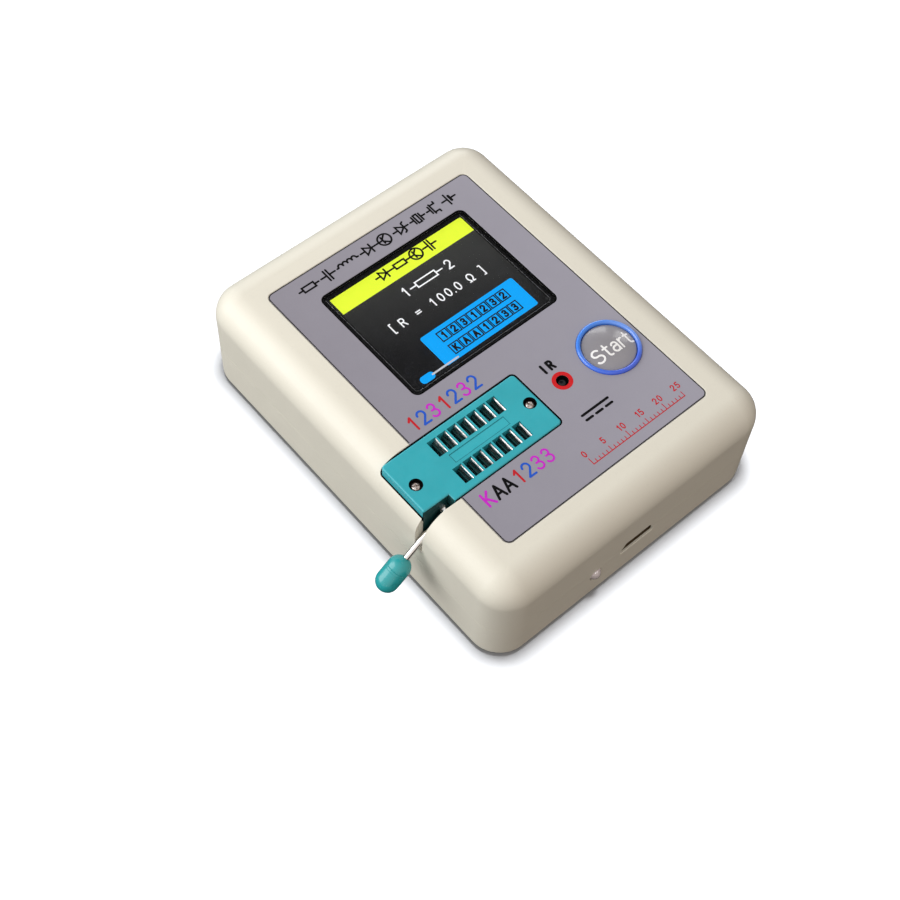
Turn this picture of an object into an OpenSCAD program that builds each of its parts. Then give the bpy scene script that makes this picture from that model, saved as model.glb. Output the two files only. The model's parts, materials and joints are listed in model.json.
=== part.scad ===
// Hand-held component tester: a two-part case with a display, a push button,
// a zero-insertion-force test socket with a cam lever, and a rechargeable cell.
// X runs to the right along the short side, Y towards the display end, Z up out
// of the face. The origin is the middle of the underside.

/* [Case] */
// Width of the case
case_w = 72.8; // [72:0.2:76]
// Length of the case
case_l = 93.8; // [93:0.2:98]
// Height of the case, to the top face
case_h = 26.5; // [26.5:0.1:28]
// Wall thickness
wall = 2.0; // [1.8:0.1:2.2]
// Height of the joint between the two halves
split_z = 11.2; // [10.8:0.1:11.4]
// Radius of the upright corners
corner_r = 7.0; // [6.8:0.1:8]
// Radius of the rounded top edge
top_r = 6.5; // [5.5:0.1:6.6]
// Radius of the rounded bottom edge
bottom_r = 2.2; // [0.8:0.1:2.6]

/* [Face] */
// Width of the face label
label_w = 53.6; // [50:0.2:54]
// Length of the face label
label_l = 74.2; // [70:0.1:75]
// Width of the screen window
window_w = 38.5; // [37.4:0.1:39]
// Height of the screen window
window_h = 31.0; // [30:0.1:31.4]

/* [Test socket] */
// Spacing of the contacts along a row
pitch = 2.54; // [2.5:0.01:2.54]
// Number of contacts in a row
per_row = 7; // [4:1:7]
// Distance between the two rows
row_gap = 7.62; // [7.4:0.02:7.7]
// Travel of the slider plate
slider_travel = 1.0; // [0.6:0.1:1.0]

/* [Lever] */
// Angle that the closed lever hangs below level
lever_drop = 38.66; // [36:0.5:40]
// Angle that the lever swings from closed to open
lever_swing = 125; // [115:1:128]
// Distance from the pivot to the middle of the knob
lever_reach = 16.65; // [16:0.05:18]
// Diameter of the lever rod
rod_d = 1.3; // [1.1:0.1:1.3]
// Diameter of the knob
knob_d = 4.9; // [4:0.1:5.2]
// Overall length of the knob
knob_l = 8.5; // [7.6:0.1:9]

/* [Button] */
// Diameter of the button cap
cap_d = 11.4; // [10.6:0.02:11.46]
// Outer diameter of the ring round the button
ring_d = 13.5; // [13.4:0.1:13.8]

/* [Cell] */
// Width of the pouch cell
cell_w = 34; // [28:1:34]
// Length of the pouch cell
cell_l = 50; // [40:1:50]
// Thickness of the pouch cell
cell_t = 5.2; // [4:0.2:5.6]

/* [Hidden] */

$fn = 64;
e = 0.01;

// The case
boss_x = 30.0;          // screw posts that join the halves
boss_y = 40.5;
boss_r = 3.4;
boss_z = 8.0;           // where the upper and lower posts meet
lip_t = 0.9;            // lip of the lower half inside the upper wall
lip_h = 1.2;
reveal = 0.25;          // fine groove along the joint

// Levels
board_z = 12.0;         // underside of the main board
board_t = 1.6;
top_z = board_z + board_t;
lcdb_z = 20.4;          // underside of the display board
lcdb_t = 1.2;

// Face
label_y = -0.04;
label_z = case_h - 0.3;
label_t = 0.25;
win_x = 0.5;
win_y = 14.4;
win_z = case_h - 1.1;

// Display
glass_x0 = -24.5;
glass_x1 = 22.2;
glass_y0 = -2.1;
glass_y1 = 31.9;
lcd_holes = [[-26.6, 0.5], [-26.6, 29.5], [24.5, 0.5], [24.5, 29.5]];
header_y = 33.4;
header_n = 8;

// Board posts
post_x = 31.4;
post_r = 2.0;
posts = [[-post_x, 24], [post_x, 24], [-post_x, -30], [post_x, -30]];

// Test socket: outline of the cover
sk_x0 = -34.5;
sk_x1 = -0.3;
sk_y = -16.3;
sk_w = 14.7;
sk_z = 23.0;            // joint between cover and base
sk_step_x = -28.36;     // step that clears the lever
sk_step = 1.79;
slot_x0 = -15.45 - pitch * (per_row - 1) / 2;
slot_w = 2.2;
slot_l = 4.0;
screw_xs = [-31.72, -2.34];
blade_a = 0.45;         // contact blade, from the slot's middle line
blade_b = 0.80;
rows = [sk_y - row_gap / 2, sk_y + row_gap / 2];

// Lever and cam
piv_x = -29.5;
piv_z = sk_z;
rod_y = -22.75;
shaft_r = 1.0;
shaft_fit = 0.06;
shaft_y1 = -11.4;
cam_e = slider_travel / (2 * sin(lever_swing / 2));
cam_r = 0.42;
cam_y0 = -20.4;
cam_y1 = -17.6;
// the cam pin points straight down at half swing
cam_x = piv_x + cam_e * sin(lever_swing / 2);
cam_z = piv_z - cam_e * cos(lever_swing / 2);
slide_z0 = 21.4;
slide_z1 = 22.8;

// Button
btn = [19.2, -16.45];
ring_top = case_h + 0.45;
cap_top = case_h + 0.75;

// Infrared receiver
ir = [6.3, -16.45];
ir_hole_r = 1.25;
ir_lens_r = 1.15;         // lens that reaches into the hole

// Connector and light in the front wall
usb_x = 0.6;
led_x = -10.5;
led_z = 8.8;

// Cell
cell_y = -1.0;
cell_z = 2.5;
lead_xs = [3.0, 5.0];
lead_r = 0.6;
bend_r = 2.4;
lead_y0 = cell_y + cell_l / 2 + 3;
lead_z0 = 4.9;
plug_y0 = lead_y0 + 0.2 + 2 * bend_r + 0.4;

// ---------------------------------------------------------------- helpers

// Rectangle with round corners, centred
module rrect(w, l, r) {
    square([w - 2 * r, l], center = true);
    square([w, l - 2 * r], center = true);
    for (sx = [-1, 1], sy = [-1, 1])
        translate([sx * (w / 2 - r), sy * (l / 2 - r)]) circle(r);
}

// Block between two corners
module blk(a, b) {
    translate(a) cube(b - a);
}

// Block with a rounded upper edge all round, from z0 up to z1
module soft_block(w, l, z0, z1, rv, rt) {
    translate([0, 0, z0]) linear_extrude(z1 - rt - z0) rrect(w, l, rv);
    translate([0, 0, z1 - rt]) {
        blk([-(w / 2 - rv), -(l / 2 - rt), 0], [w / 2 - rv, l / 2 - rt, rt]);
        blk([-(w / 2 - rt), -(l / 2 - rv), 0], [w / 2 - rt, l / 2 - rv, rt]);
        for (s = [0, 1]) mirror([0, s, 0])
            translate([-(w / 2 - rv), l / 2 - rt, 0]) rotate([90, 0, 90])
                linear_extrude(w - 2 * rv) quarter(rt);
        for (s = [0, 1]) mirror([s, 0, 0])
            translate([w / 2 - rt, l / 2 - rv, 0]) rotate([90, 0, 0])
                linear_extrude(l - 2 * rv) quarter(rt);
        for (sx = [0, 1], sy = [0, 1]) mirror([sx, 0, 0]) mirror([0, sy, 0])
            translate([w / 2 - rv, l / 2 - rv, 0])
                rotate_extrude(angle = 90) {
                    if (rv > rt) square([rv - rt, rt]);
                    translate([rv - rt, 0]) quarter(rt);
                }
    }
}

module quarter(r) {
    intersection() {
        circle(r);
        square([r, r]);
    }
}

// Opening for the USB plug, along Y through the front wall
module usb_cut() {
    translate([usb_x, -case_l / 2 - 1, 0]) rotate([90, 0, 180]) mirror([1, 0, 0])
        linear_extrude(wall + 2.2)
            polygon([[-4.45, 9.1], [4.45, 9.1], [4.45, 10.5], [3.3, 12.3], [-3.3, 12.3], [-4.45, 10.5]]);
}

// Pan-head screw pointing up, seat of its head at z = 0
module screw_up(head_r, head_h, shank_r, shank_l) {
    difference() {
        translate([0, 0, -head_h]) cylinder(r = head_r, h = head_h);
        translate([0, 0, -head_h - e]) cross_recess(head_r * 0.62, head_h * 0.6);
    }
    cylinder(r = shank_r, h = shank_l);
}

module cross_recess(r, d) {
    for (a = [0, 90]) rotate(a) translate([-r, -r * 0.17, 0]) cube([2 * r, r * 0.34, d]);
}

// ---------------------------------------------------------------- case

module top_shell() color([0.90, 0.88, 0.81]) difference() {
    union() {
        difference() {
            soft_block(case_w, case_l, split_z, case_h, corner_r, top_r);
            soft_block(case_w - 2 * wall, case_l - 2 * wall, split_z - 1, case_h - wall,
                       corner_r - wall, top_r - wall);
            translate([0, 0, split_z - 1]) linear_extrude(lip_h + 1.1)
                rrect(case_w - 2 * (wall - lip_t - 0.1), case_l - 2 * (wall - lip_t - 0.1),
                      corner_r - (wall - lip_t - 0.1));
        }
        for (sx = [-1, 1], sy = [-1, 1]) translate([sx * boss_x, sy * boss_y, boss_z])
            cylinder(r = boss_r, h = case_h - wall - boss_z + 0.3);
        for (p = posts) translate([p[0], p[1], top_z])
            cylinder(r = post_r, h = case_h - wall - top_z + 0.3);
    }
    // pilot holes
    for (sx = [-1, 1], sy = [-1, 1]) translate([sx * boss_x, sy * boss_y, boss_z - 1])
        cylinder(r = 1.15, h = 11);
    for (p = posts) translate([p[0], p[1], top_z - 1]) cylinder(r = 0.85, h = 7.4);
    // seat of the label and of the window, and the opening under the window
    translate([0, label_y, label_z]) linear_extrude(2) rrect(label_w + 0.2, label_l + 0.2, 1.5);
    translate([win_x, win_y, win_z]) linear_extrude(3) rrect(window_w + 0.2, window_h + 0.2, 1.6);
    translate([win_x, win_y, case_h - wall - 1]) linear_extrude(3)
        rrect(window_w - 1.6, window_h - 1.6, 1.2);
    // opening for the test socket, and the notch that the lever swings in
    translate([(sk_x0 + sk_x1) / 2, sk_y, sk_z - 0.3]) linear_extrude(5)
        rrect(sk_x1 - sk_x0 + 0.6, sk_w + 0.6, 1.2);
    blk([-(case_w / 2 - wall), sk_y - sk_w / 2 - 0.3, 17], [sk_x1 + 0.3 - 1.2, sk_y + sk_w / 2 + 0.3, sk_z]);
    blk([-case_w / 2 - 1, sk_y - sk_w / 2 - 0.3, 16], [sk_step_x, -21.8, case_h + 1]);
    // button ring, infrared window, USB plug
    translate([btn[0], btn[1], case_h - wall - 1]) cylinder(r = ring_d / 2 + 0.05, h = wall + 2);
    translate([ir[0], ir[1], case_h - wall - 1]) cylinder(r = ir_hole_r, h = wall + 2);
    usb_cut();
}

module bottom_shell() color([0.88, 0.86, 0.79]) difference() {
    union() {
        difference() {
            union() {
                translate([0, 0, split_z - reveal]) mirror([0, 0, 1])
                    soft_block(case_w, case_l, 0, split_z - reveal, corner_r, bottom_r);
                translate([0, 0, split_z - reveal - e]) linear_extrude(reveal + e)
                    rrect(case_w - 2 * reveal, case_l - 2 * reveal, corner_r - reveal);
                translate([0, 0, split_z - 0.5]) linear_extrude(lip_h + 0.5)
                    rrect(case_w - 2 * (wall - lip_t), case_l - 2 * (wall - lip_t),
                          corner_r - (wall - lip_t));
            }
            translate([0, 0, wall]) linear_extrude(case_h)
                rrect(case_w - 2 * wall, case_l - 2 * wall, corner_r - wall);
        }
        for (sx = [-1, 1], sy = [-1, 1]) translate([sx * boss_x, sy * boss_y, wall - 0.5])
            cylinder(r = boss_r, h = boss_z - wall + 0.5);
        // ribs that keep the cell in its place
        for (s = [-1, 1]) translate([s * (cell_w / 2 + 1.1) - 0.5, -19, wall - 0.5]) cube([1, 36, 3.5]);
        translate([-11, cell_y - cell_l / 2 - 1.6, wall - 0.5]) cube([22, 1, 3.5]);
    }
    for (sx = [-1, 1], sy = [-1, 1]) translate([sx * boss_x, sy * boss_y, -1]) {
        cylinder(r = 1.45, h = 12);
        cylinder(r = 2.6, h = 3.4);
    }
    usb_cut();
    translate([led_x, -case_l / 2 - 1, led_z]) rotate([-90, 0, 0]) cylinder(r = 1.6, h = wall + 2);
}

module case_screws() color([0.62, 0.62, 0.64])
    for (sx = [-1, 1], sy = [-1, 1]) translate([sx * boss_x, sy * boss_y, 2.4])
        screw_up(2.4, 1.6, 1.1, 12.6);

// ---------------------------------------------------------------- face

module face_label() color([0.58, 0.56, 0.61]) difference() {
    translate([0, label_y, label_z]) linear_extrude(label_t) rrect(label_w, label_l, 1.4);
    translate([win_x, win_y, label_z - 1]) linear_extrude(3) rrect(window_w + 0.2, window_h + 0.2, 1.6);
    blk([-case_w, sk_y - sk_w / 2 - 0.3, label_z - 1], [sk_x1 - 1, sk_y + sk_w / 2 + 0.3, label_z + 2]);
    translate([(sk_x0 + sk_x1) / 2, sk_y, label_z - 1]) linear_extrude(3)
        rrect(sk_x1 - sk_x0 + 0.6, sk_w + 0.6, 1.2);
    translate([btn[0], btn[1], label_z - 1]) cylinder(r = ring_d / 2 + 0.05, h = 3);
    translate([ir[0], ir[1], label_z - 1]) cylinder(r = ir_hole_r + 0.05, h = 3);
}

module screen_window() color([0.1, 0.1, 0.12])
    translate([win_x, win_y, win_z]) linear_extrude(label_z + label_t - win_z)
        rrect(window_w, window_h, 1.5);

// ---------------------------------------------------------------- display

module lcd_glass() color([0.06, 0.06, 0.07])
    blk([glass_x0, glass_y0, lcdb_z + lcdb_t + 1.4], [glass_x1, glass_y1, case_h - wall - 0.1]);

module lcd_backlight() color([0.92, 0.92, 0.9]) difference() {
    blk([glass_x0, glass_y0, lcdb_z + lcdb_t], [glass_x1, glass_y1, lcdb_z + lcdb_t + 1.4]);
    // shallow pocket for the diffuser sheets
    blk([glass_x0 + 1.2, glass_y0 + 1.2, lcdb_z + lcdb_t + 1.15],
        [glass_x1 - 4, glass_y1 - 1.2, lcdb_z + lcdb_t + 2]);
}

module lcd_board() color([0.05, 0.25, 0.5]) difference() {
    blk([-28.9, -4.2, lcdb_z], [26.9, 35.2, lcdb_z + lcdb_t]);
    for (p = lcd_holes) translate([p[0], p[1], lcdb_z - 1]) cylinder(r = 1.05, h = 3);
    for (i = [0 : header_n - 1])
        translate([header_x(i), header_y, lcdb_z - 1]) cylinder(r = 0.5, h = 3);
}

function header_x(i) = (i - (header_n - 1) / 2) * 2.54 - 1;

module lcd_standoffs() color([0.83, 0.68, 0.35])
    for (p = lcd_holes) translate([p[0], p[1], top_z]) difference() {
        cylinder(r = 2.0, h = lcdb_z - top_z, $fn = 6);
        translate([0, 0, 2]) cylinder(r = 1.0, h = lcdb_z - top_z);
    }

module lcd_screws() color([0.7, 0.7, 0.72])
    for (p = lcd_holes) translate([p[0], p[1], lcdb_z + lcdb_t]) mirror([0, 0, 1])
        screw_up(1.7, 1.2, 0.95, 4.5);

module lcd_header_socket() color([0.08, 0.08, 0.08]) difference() {
    blk([header_x(0) - 1.3, header_y - 1.25, top_z], [header_x(header_n - 1) + 1.3, header_y + 1.25, lcdb_z - 2.5]);
    for (i = [0 : header_n - 1])
        blk([header_x(i) - 0.4, header_y - 0.4, top_z + 0.6], [header_x(i) + 0.4, header_y + 0.4, lcdb_z]);
}

module lcd_header() color([0.1, 0.1, 0.1]) difference() {
    blk([header_x(0) - 1.27, header_y - 1.25, lcdb_z - 2.5], [header_x(header_n - 1) + 1.27, header_y + 1.25, lcdb_z]);
    for (i = [0 : header_n - 1])
        blk([header_x(i) - 0.34, header_y - 0.34, lcdb_z - 4], [header_x(i) + 0.34, header_y + 0.34, lcdb_z + 1]);
}

module lcd_pins() color([0.85, 0.7, 0.35])
    for (i = [0 : header_n - 1])
        blk([header_x(i) - 0.32, header_y - 0.32, top_z + 0.9], [header_x(i) + 0.32, header_y + 0.32, lcdb_z + lcdb_t + 0.9]);

// ---------------------------------------------------------------- main board

module main_board() color([0.05, 0.35, 0.2]) difference() {
    blk([-33, -43.5, board_z], [33, 43.5, top_z]);
    for (sx = [-1, 1], sy = [-1, 1]) translate([sx * boss_x, sy * boss_y, board_z - 1])
        cylinder(r = 4.5, h = board_t + 2);
    for (p = posts) translate([p[0], p[1], board_z - 1]) cylinder(r = 1.05, h = board_t + 2);
    for (y = rows, i = [0 : per_row - 1])
        translate([slot_x0 + i * pitch + (blade_a + blade_b) / 2, y, board_z - 1])
            cylinder(r = 0.5, h = board_t + 2);
}

module board_screws() color([0.7, 0.7, 0.72])
    for (p = posts) translate([p[0], p[1], board_z]) screw_up(1.7, 1.2, 0.8, 6.6);

module microcontroller() color([0.09, 0.09, 0.1])
    translate([8, 12, 0]) difference() {
        blk([-5, -5, board_z - 1.1], [5, 5, board_z]);
        translate([-3.9, 3.9, board_z - 2]) cylinder(r = 0.4, h = 1.0);
    }

module microcontroller_pins() color([0.78, 0.78, 0.8])
    translate([8, 12, 0]) for (a = [0 : 90 : 270]) rotate(a) for (i = [-5 : 5])
        blk([5, i * 0.8 - 0.18, board_z - 0.25], [6, i * 0.8 + 0.18, board_z]);

module crystal() color([0.8, 0.8, 0.82])
    translate([22, 12, board_z - 3.4]) linear_extrude(3.4) {
        square([4.3, 6.2], center = true);
        for (s = [-1, 1]) translate([0, s * 3.1]) circle(2.15);
    }

module power_inductor() color([0.2, 0.2, 0.22])
    translate([-12, -33, board_z - 2.8]) linear_extrude(2.8) rrect(6, 6, 1);

module charger_chip() color([0.09, 0.09, 0.1])
    translate([9, -33, 0]) {
        blk([-2, -2.5, board_z - 1.5], [2, 2.5, board_z - 0.1]);
        for (s = [-1, 1], i = [-1.5 : 1.5]) blk([s * 2.5 - 0.6, i * 1.27 - 0.2, board_z - 0.5], [s * 2.5 + 0.6, i * 1.27 + 0.2, board_z]);
    }

module chip_parts() color([0.72, 0.62, 0.45]) {
    for (i = [0 : 5]) blk([-26 + i * 3.4, 6, board_z - 0.7], [-24 + i * 3.4, 7.25, board_z]);
    for (i = [0 : 5]) blk([-26 + i * 3.4, 11, board_z - 0.7], [-24 + i * 3.4, 12.25, board_z]);
    for (i = [0 : 4]) blk([20, -34 + i * 3, board_z - 0.7], [22, -32.75 + i * 3, board_z]);
    for (i = [0 : 3]) blk([-26 + i * 4, -30, top_z], [-24 + i * 4, -28.75, top_z + 0.7]);
}

// ---------------------------------------------------------------- test socket

module socket_outline(grow) {
    difference() {
        translate([(sk_x0 + sk_x1) / 2, sk_y]) rrect(sk_x1 - sk_x0 + 2 * grow, sk_w + 2 * grow, 0.9 + grow);
        translate([sk_x0 - 1, sk_y - sk_w / 2 - 1]) square([sk_step_x - sk_x0 + 1 + (grow < 0 ? -grow : 0),
                                                           sk_step + 1 + (grow < 0 ? -0.8 * grow : 0)]);
    }
}

module shaft_bore() {
    translate([piv_x, -24, piv_z]) rotate([-90, 0, 0]) cylinder(r = shaft_r + shaft_fit, h = shaft_y1 + 0.2 + 24);
}

module socket_cover() color([0.22, 0.66, 0.71]) difference() {
    translate([0, 0, sk_z]) linear_extrude(case_h - sk_z) socket_outline(0);
    for (y = rows, i = [0 : per_row - 1]) translate([slot_x0 + i * pitch, y, 0])
        blk([-slot_w / 2, -slot_l / 2, sk_z - 1], [slot_w / 2, slot_l / 2, case_h + 1]);
    // shallow panel between the rows
    blk([-22.6, sk_y - 1.15, case_h - 0.3], [-8.5, sk_y + 1.05, case_h + 1]);
    for (x = screw_xs) translate([x, sk_y, 0]) {
        translate([0, 0, sk_z - 1]) cylinder(r = 0.95, h = 6);
        translate([0, 0, case_h - 1.5]) cylinder(r = 1.4, h = 3);
    }
    shaft_bore();
}

module socket_base() color([0.16, 0.55, 0.60]) difference() {
    translate([0, 0, top_z]) linear_extrude(sk_z - top_z) socket_outline(-0.25);
    // room for the slider plate and its tongue
    blk([slide_x0 - slider_travel - 0.3, sk_y - 6.3, slide_z0 - 0.2], [slide_x1 + 0.3, sk_y + 6.3, sk_z + 1]);
    blk([piv_x - 2.2, cam_y0, slide_z0 - 0.2], [slide_x0, cam_y1, sk_z + 1]);
    // contact slots
    for (y = rows, i = [0 : per_row - 1]) translate([slot_x0 + i * pitch, y, 0])
        blk([blade_a - 0.1, -1.25, top_z - 1], [blade_b + 0.1, 1.25, sk_z + 1]);
    for (x = screw_xs) translate([x, sk_y, 17]) cylinder(r = 0.75, h = 8);
    shaft_bore();
}

slide_x0 = slot_x0 - 1.0;
slide_x1 = slot_x0 + pitch * (per_row - 1) + blade_b + slider_travel + 0.2 + 1.0;

module socket_slider() color([0.35, 0.60, 0.60]) difference() {
    union() {
        blk([slide_x0, sk_y - 6.1, slide_z0], [slide_x1, sk_y + 6.1, slide_z1]);
        blk([piv_x - 0.9, cam_y0 + 0.2, slide_z0], [slide_x0 + 0.5, cam_y1 - 0.2, slide_z1]);
    }
    for (y = rows, i = [0 : per_row - 1]) translate([slot_x0 + i * pitch, y, 0])
        blk([blade_a - 0.2, -1.5, slide_z0 - 1], [blade_b + slider_travel + 0.2, 1.5, slide_z1 + 1]);
    // channel for the cam pin
    blk([cam_x - cam_r - 0.1, cam_y0, slide_z0 + 0.42], [cam_x + cam_r + 0.1, cam_y1, slide_z1 + 1]);
}

module socket_contacts() color([0.86, 0.84, 0.80])
    for (y = rows, i = [0 : per_row - 1]) translate([slot_x0 + i * pitch, y, 0]) {
        blk([blade_a, -1.1, top_z + 0.3], [blade_b, 1.1, case_h - 0.6]);
        blk([blade_a, -0.3, board_z - 1.6], [blade_b, 0.3, top_z + 0.3 + e]);
    }

module socket_screws() color([0.75, 0.73, 0.70])
    for (x = screw_xs) translate([x, sk_y, case_h - 1.5]) mirror([0, 0, 1])
        screw_up(1.25, 1.1, 0.7, 6.5);

// ---------------------------------------------------------------- lever

module along_lever() {
    translate([piv_x, rod_y, piv_z]) rotate([0, -90 - lever_drop, 0]) children();
}

module lever_rod() color([0.80, 0.80, 0.80]) {
    // the arm, the bend and the short neck
    along_lever() {
        sphere(rod_d / 2);
        cylinder(d = rod_d, h = lever_reach + 1.5);
    }
    translate([piv_x, rod_y, piv_z]) rotate([-90, 0, 0]) cylinder(d = rod_d, h = 1);
    // the cam shaft, with the offset pin that moves the slider
    translate([piv_x, 0, piv_z]) rotate([-90, 0, 0]) {
        translate([0, 0, -22.3]) cylinder(r = shaft_r, h = 22.3 + cam_y0);
        translate([0, 0, cam_y1]) cylinder(r = shaft_r, h = shaft_y1 - cam_y1);
    }
    translate([cam_x, cam_y0 - 0.3, cam_z]) rotate([-90, 0, 0]) cylinder(r = cam_r, h = cam_y1 - cam_y0 + 0.6);
}

module lever_knob() color([0.25, 0.68, 0.68]) along_lever() translate([0, 0, lever_reach]) difference() {
    union() {
        cylinder(d = knob_d, h = knob_l - knob_d, center = true);
        for (s = [-1, 1]) translate([0, 0, s * (knob_l - knob_d) / 2]) sphere(d = knob_d);
    }
    // bore for the rod
    translate([0, 0, -knob_l]) cylinder(d = rod_d + 0.04, h = knob_l + 1.55);
    // fine ring near the rod
    translate([0, 0, -1.15]) rotate_extrude() translate([knob_d / 2 - 0.1, 0]) square([0.4, 0.16]);
}

// ---------------------------------------------------------------- button

module button_ring() color([0.15, 0.40, 0.90]) translate([btn[0], btn[1], 0]) rotate_extrude() {
    a = cap_d / 2 + 0.1;
    b = ring_d / 2;
    translate([a, 23.7]) square([7.8 - a, 0.8]);
    translate([a, 23.7]) square([b - a, ring_top - 0.46 - 23.7]);
    translate([(a + b) / 2, ring_top - 0.46]) intersection() {
        circle((b - a) / 2);
        translate([-2, 0]) square([4, 2]);
    }
}

module start_button() color([0.62, 0.61, 0.64]) translate([btn[0], btn[1], 0]) difference() {
    union() {
        translate([0, 0, 19.6]) cylinder(r = 3.6, h = 3);
        translate([0, 0, 22.4]) cylinder(r = 7.2, h = 1.0);
        translate([0, 0, 23.0]) cylinder(d = cap_d, h = case_h - 0.15 - 23.0);
        // shallow dome
        translate([0, 0, case_h - 0.15]) rotate_extrude() dome(cap_d / 2, cap_top - case_h + 0.15);
    }
    blk([-1.95, -1.95, 19], [1.95, 1.95, 21.9]);
}

// Half of a circular segment of half-width c and height h, standing on the X axis
module dome(c, h) {
    r = (c * c + h * h) / (2 * h);
    intersection() {
        translate([0, h - r]) circle(r, $fn = 240);
        square([c, h]);
    }
}

module switch_body() color([0.12, 0.12, 0.13]) translate([btn[0], btn[1], 0]) difference() {
    blk([-6, -6, top_z], [6, 6, top_z + 3.6]);
    translate([0, 0, top_z + 1.0]) cylinder(r = 3.5, h = 5);
}

module switch_plate() color([0.75, 0.75, 0.77]) translate([btn[0], btn[1], 0]) {
    difference() {
        blk([-6, -6, top_z + 3.6], [6, 6, top_z + 3.9]);
        translate([0, 0, top_z]) cylinder(r = 3.6, h = 5);
    }
    for (sx = [-1, 1], sy = [-1, 1]) translate([sx * 4.9, sy * 4.9, top_z + 3.9 - e]) cylinder(r = 0.6, h = 0.2);
}

module switch_plunger() color([0.9, 0.9, 0.88]) translate([btn[0], btn[1], 0]) {
    translate([0, 0, top_z + 1.5]) cylinder(r = 3.4, h = 3.8);
    blk([-1.9, -1.9, top_z + 5.2], [1.9, 1.9, 21.9]);
}

// ---------------------------------------------------------------- infrared receiver

module ir_receiver() color([0.05, 0.05, 0.06]) translate([ir[0], ir[1], 0]) {
    blk([-3.3, -2.8, 19.6], [3.3, 2.8, 22.8]);
    translate([0, 0, 22.8]) rotate_extrude() dome(2.3, 1.4);
    // lens
    translate([0, 0, 22.8]) cylinder(r = ir_lens_r, h = 2.7);
    translate([0, 0, 25.5]) rotate_extrude() dome(ir_lens_r, 0.55);
}

module ir_legs() color([0.75, 0.75, 0.77]) for (i = [-1 : 1]) translate([ir[0] + i * 2.54, ir[1], 0]) {
    blk([-0.25, -4.1, 20.4], [0.25, -2.8, 20.9]);
    blk([-0.25, -4.1, top_z], [0.25, -3.6, 20.4 + e]);
}

// ---------------------------------------------------------------- USB connector and charge light

module usb_profile(g) {
    polygon([[-3.75 + g, 9.5 + g], [3.75 - g, 9.5 + g], [3.75 - g, 10.9], [3.0 - g, 12.0 - g], [-3.0 + g, 12.0 - g], [-3.75 + g, 10.9]]);
}

module usb_shell() color([0.78, 0.78, 0.80]) translate([usb_x, 0, 0]) difference() {
    translate([0, -40.2, 0]) rotate([90, 0, 0]) linear_extrude(5.2) usb_profile(0);
    translate([0, -40.6, 0]) rotate([90, 0, 0]) linear_extrude(6) usb_profile(0.3);
}

module usb_tongue() color([0.1, 0.1, 0.1]) translate([usb_x, 0, 0]) {
    blk([-2.6, -41.6, 9.8], [2.6, -40.6, 11.7]);
    blk([-1.9, -44.6, 10.9], [1.9, -41.6 + e, 11.4]);
}

module charge_led() color([0.92, 0.92, 0.95]) translate([led_x, 0, led_z]) rotate([90, 0, 0]) {
    translate([0, 0, 46.2]) intersection() {
        sphere(1.5);
        cylinder(r = 2, h = 2);
    }
    translate([0, 0, 42.6]) cylinder(r = 1.5, h = 3.6);
    translate([0, 0, 42.6]) cylinder(r = 1.9, h = 1);
}

module led_legs() color([0.75, 0.75, 0.77]) for (s = [-1, 1]) translate([led_x + s * 0.9, 0, 0]) {
    blk([-0.22, -42.6, led_z - 0.22], [0.22, -40.6, led_z + 0.22]);
    blk([-0.22, -41.04, led_z + 0.22 - e], [0.22, -40.6, board_z]);
}

// ---------------------------------------------------------------- cell and its leads

module battery() color([0.72, 0.73, 0.76]) {
    translate([0, cell_y, cell_z]) linear_extrude(cell_t) rrect(cell_w, cell_l, 1.5);
    blk([-12, cell_y + cell_l / 2 - 0.5, cell_z + 0.8], [12, lead_y0, cell_z + cell_t - 1.2]);
}

module battery_tape() color([0.95, 0.95, 0.9])
    blk([-cell_w / 2 + 4, cell_y - cell_l / 2 + 6, wall], [cell_w / 2 - 4, cell_y + cell_l / 2 - 6, cell_z]);

// One lead: out of the cell's end, up, and level again into the plug
module lead(x) {
    translate([x, lead_y0, lead_z0]) rotate([-90, 0, 0]) cylinder(r = lead_r, h = 0.2);
    translate([x, lead_y0 + 0.2, lead_z0 + bend_r]) rotate([0, 90, 0]) rotate([0, 0, 0])
        rotate_extrude(angle = 90) translate([bend_r, 0]) circle(lead_r);
    translate([x, lead_y0 + 0.2 + 2 * bend_r, lead_z0 + bend_r]) rotate([0, 90, 0]) rotate([0, 0, 180])
        rotate_extrude(angle = 90) translate([bend_r, 0]) circle(lead_r);
    translate([x, lead_y0 + 0.2 + 2 * bend_r, lead_z0 + 2 * bend_r]) rotate([-90, 0, 0]) cylinder(r = lead_r, h = 0.4);
}

module battery_lead_red() color([0.8, 0.1, 0.1]) lead(lead_xs[0]);

module battery_lead_black() color([0.08, 0.08, 0.08]) lead(lead_xs[1]);

module battery_plug() color([0.93, 0.92, 0.88])
    blk([1.4, plug_y0, 8.1], [6.6, plug_y0 + 6, 11.3]);

module battery_socket() color([0.93, 0.92, 0.88]) difference() {
    blk([0.6, plug_y0 + 2.4, 7.4], [7.4, plug_y0 + 9.4, board_z]);
    blk([1.3, plug_y0 + 2, 8.0], [6.7, plug_y0 + 6, 11.4]);
}

// ---------------------------------------------------------------- assembly

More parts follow.
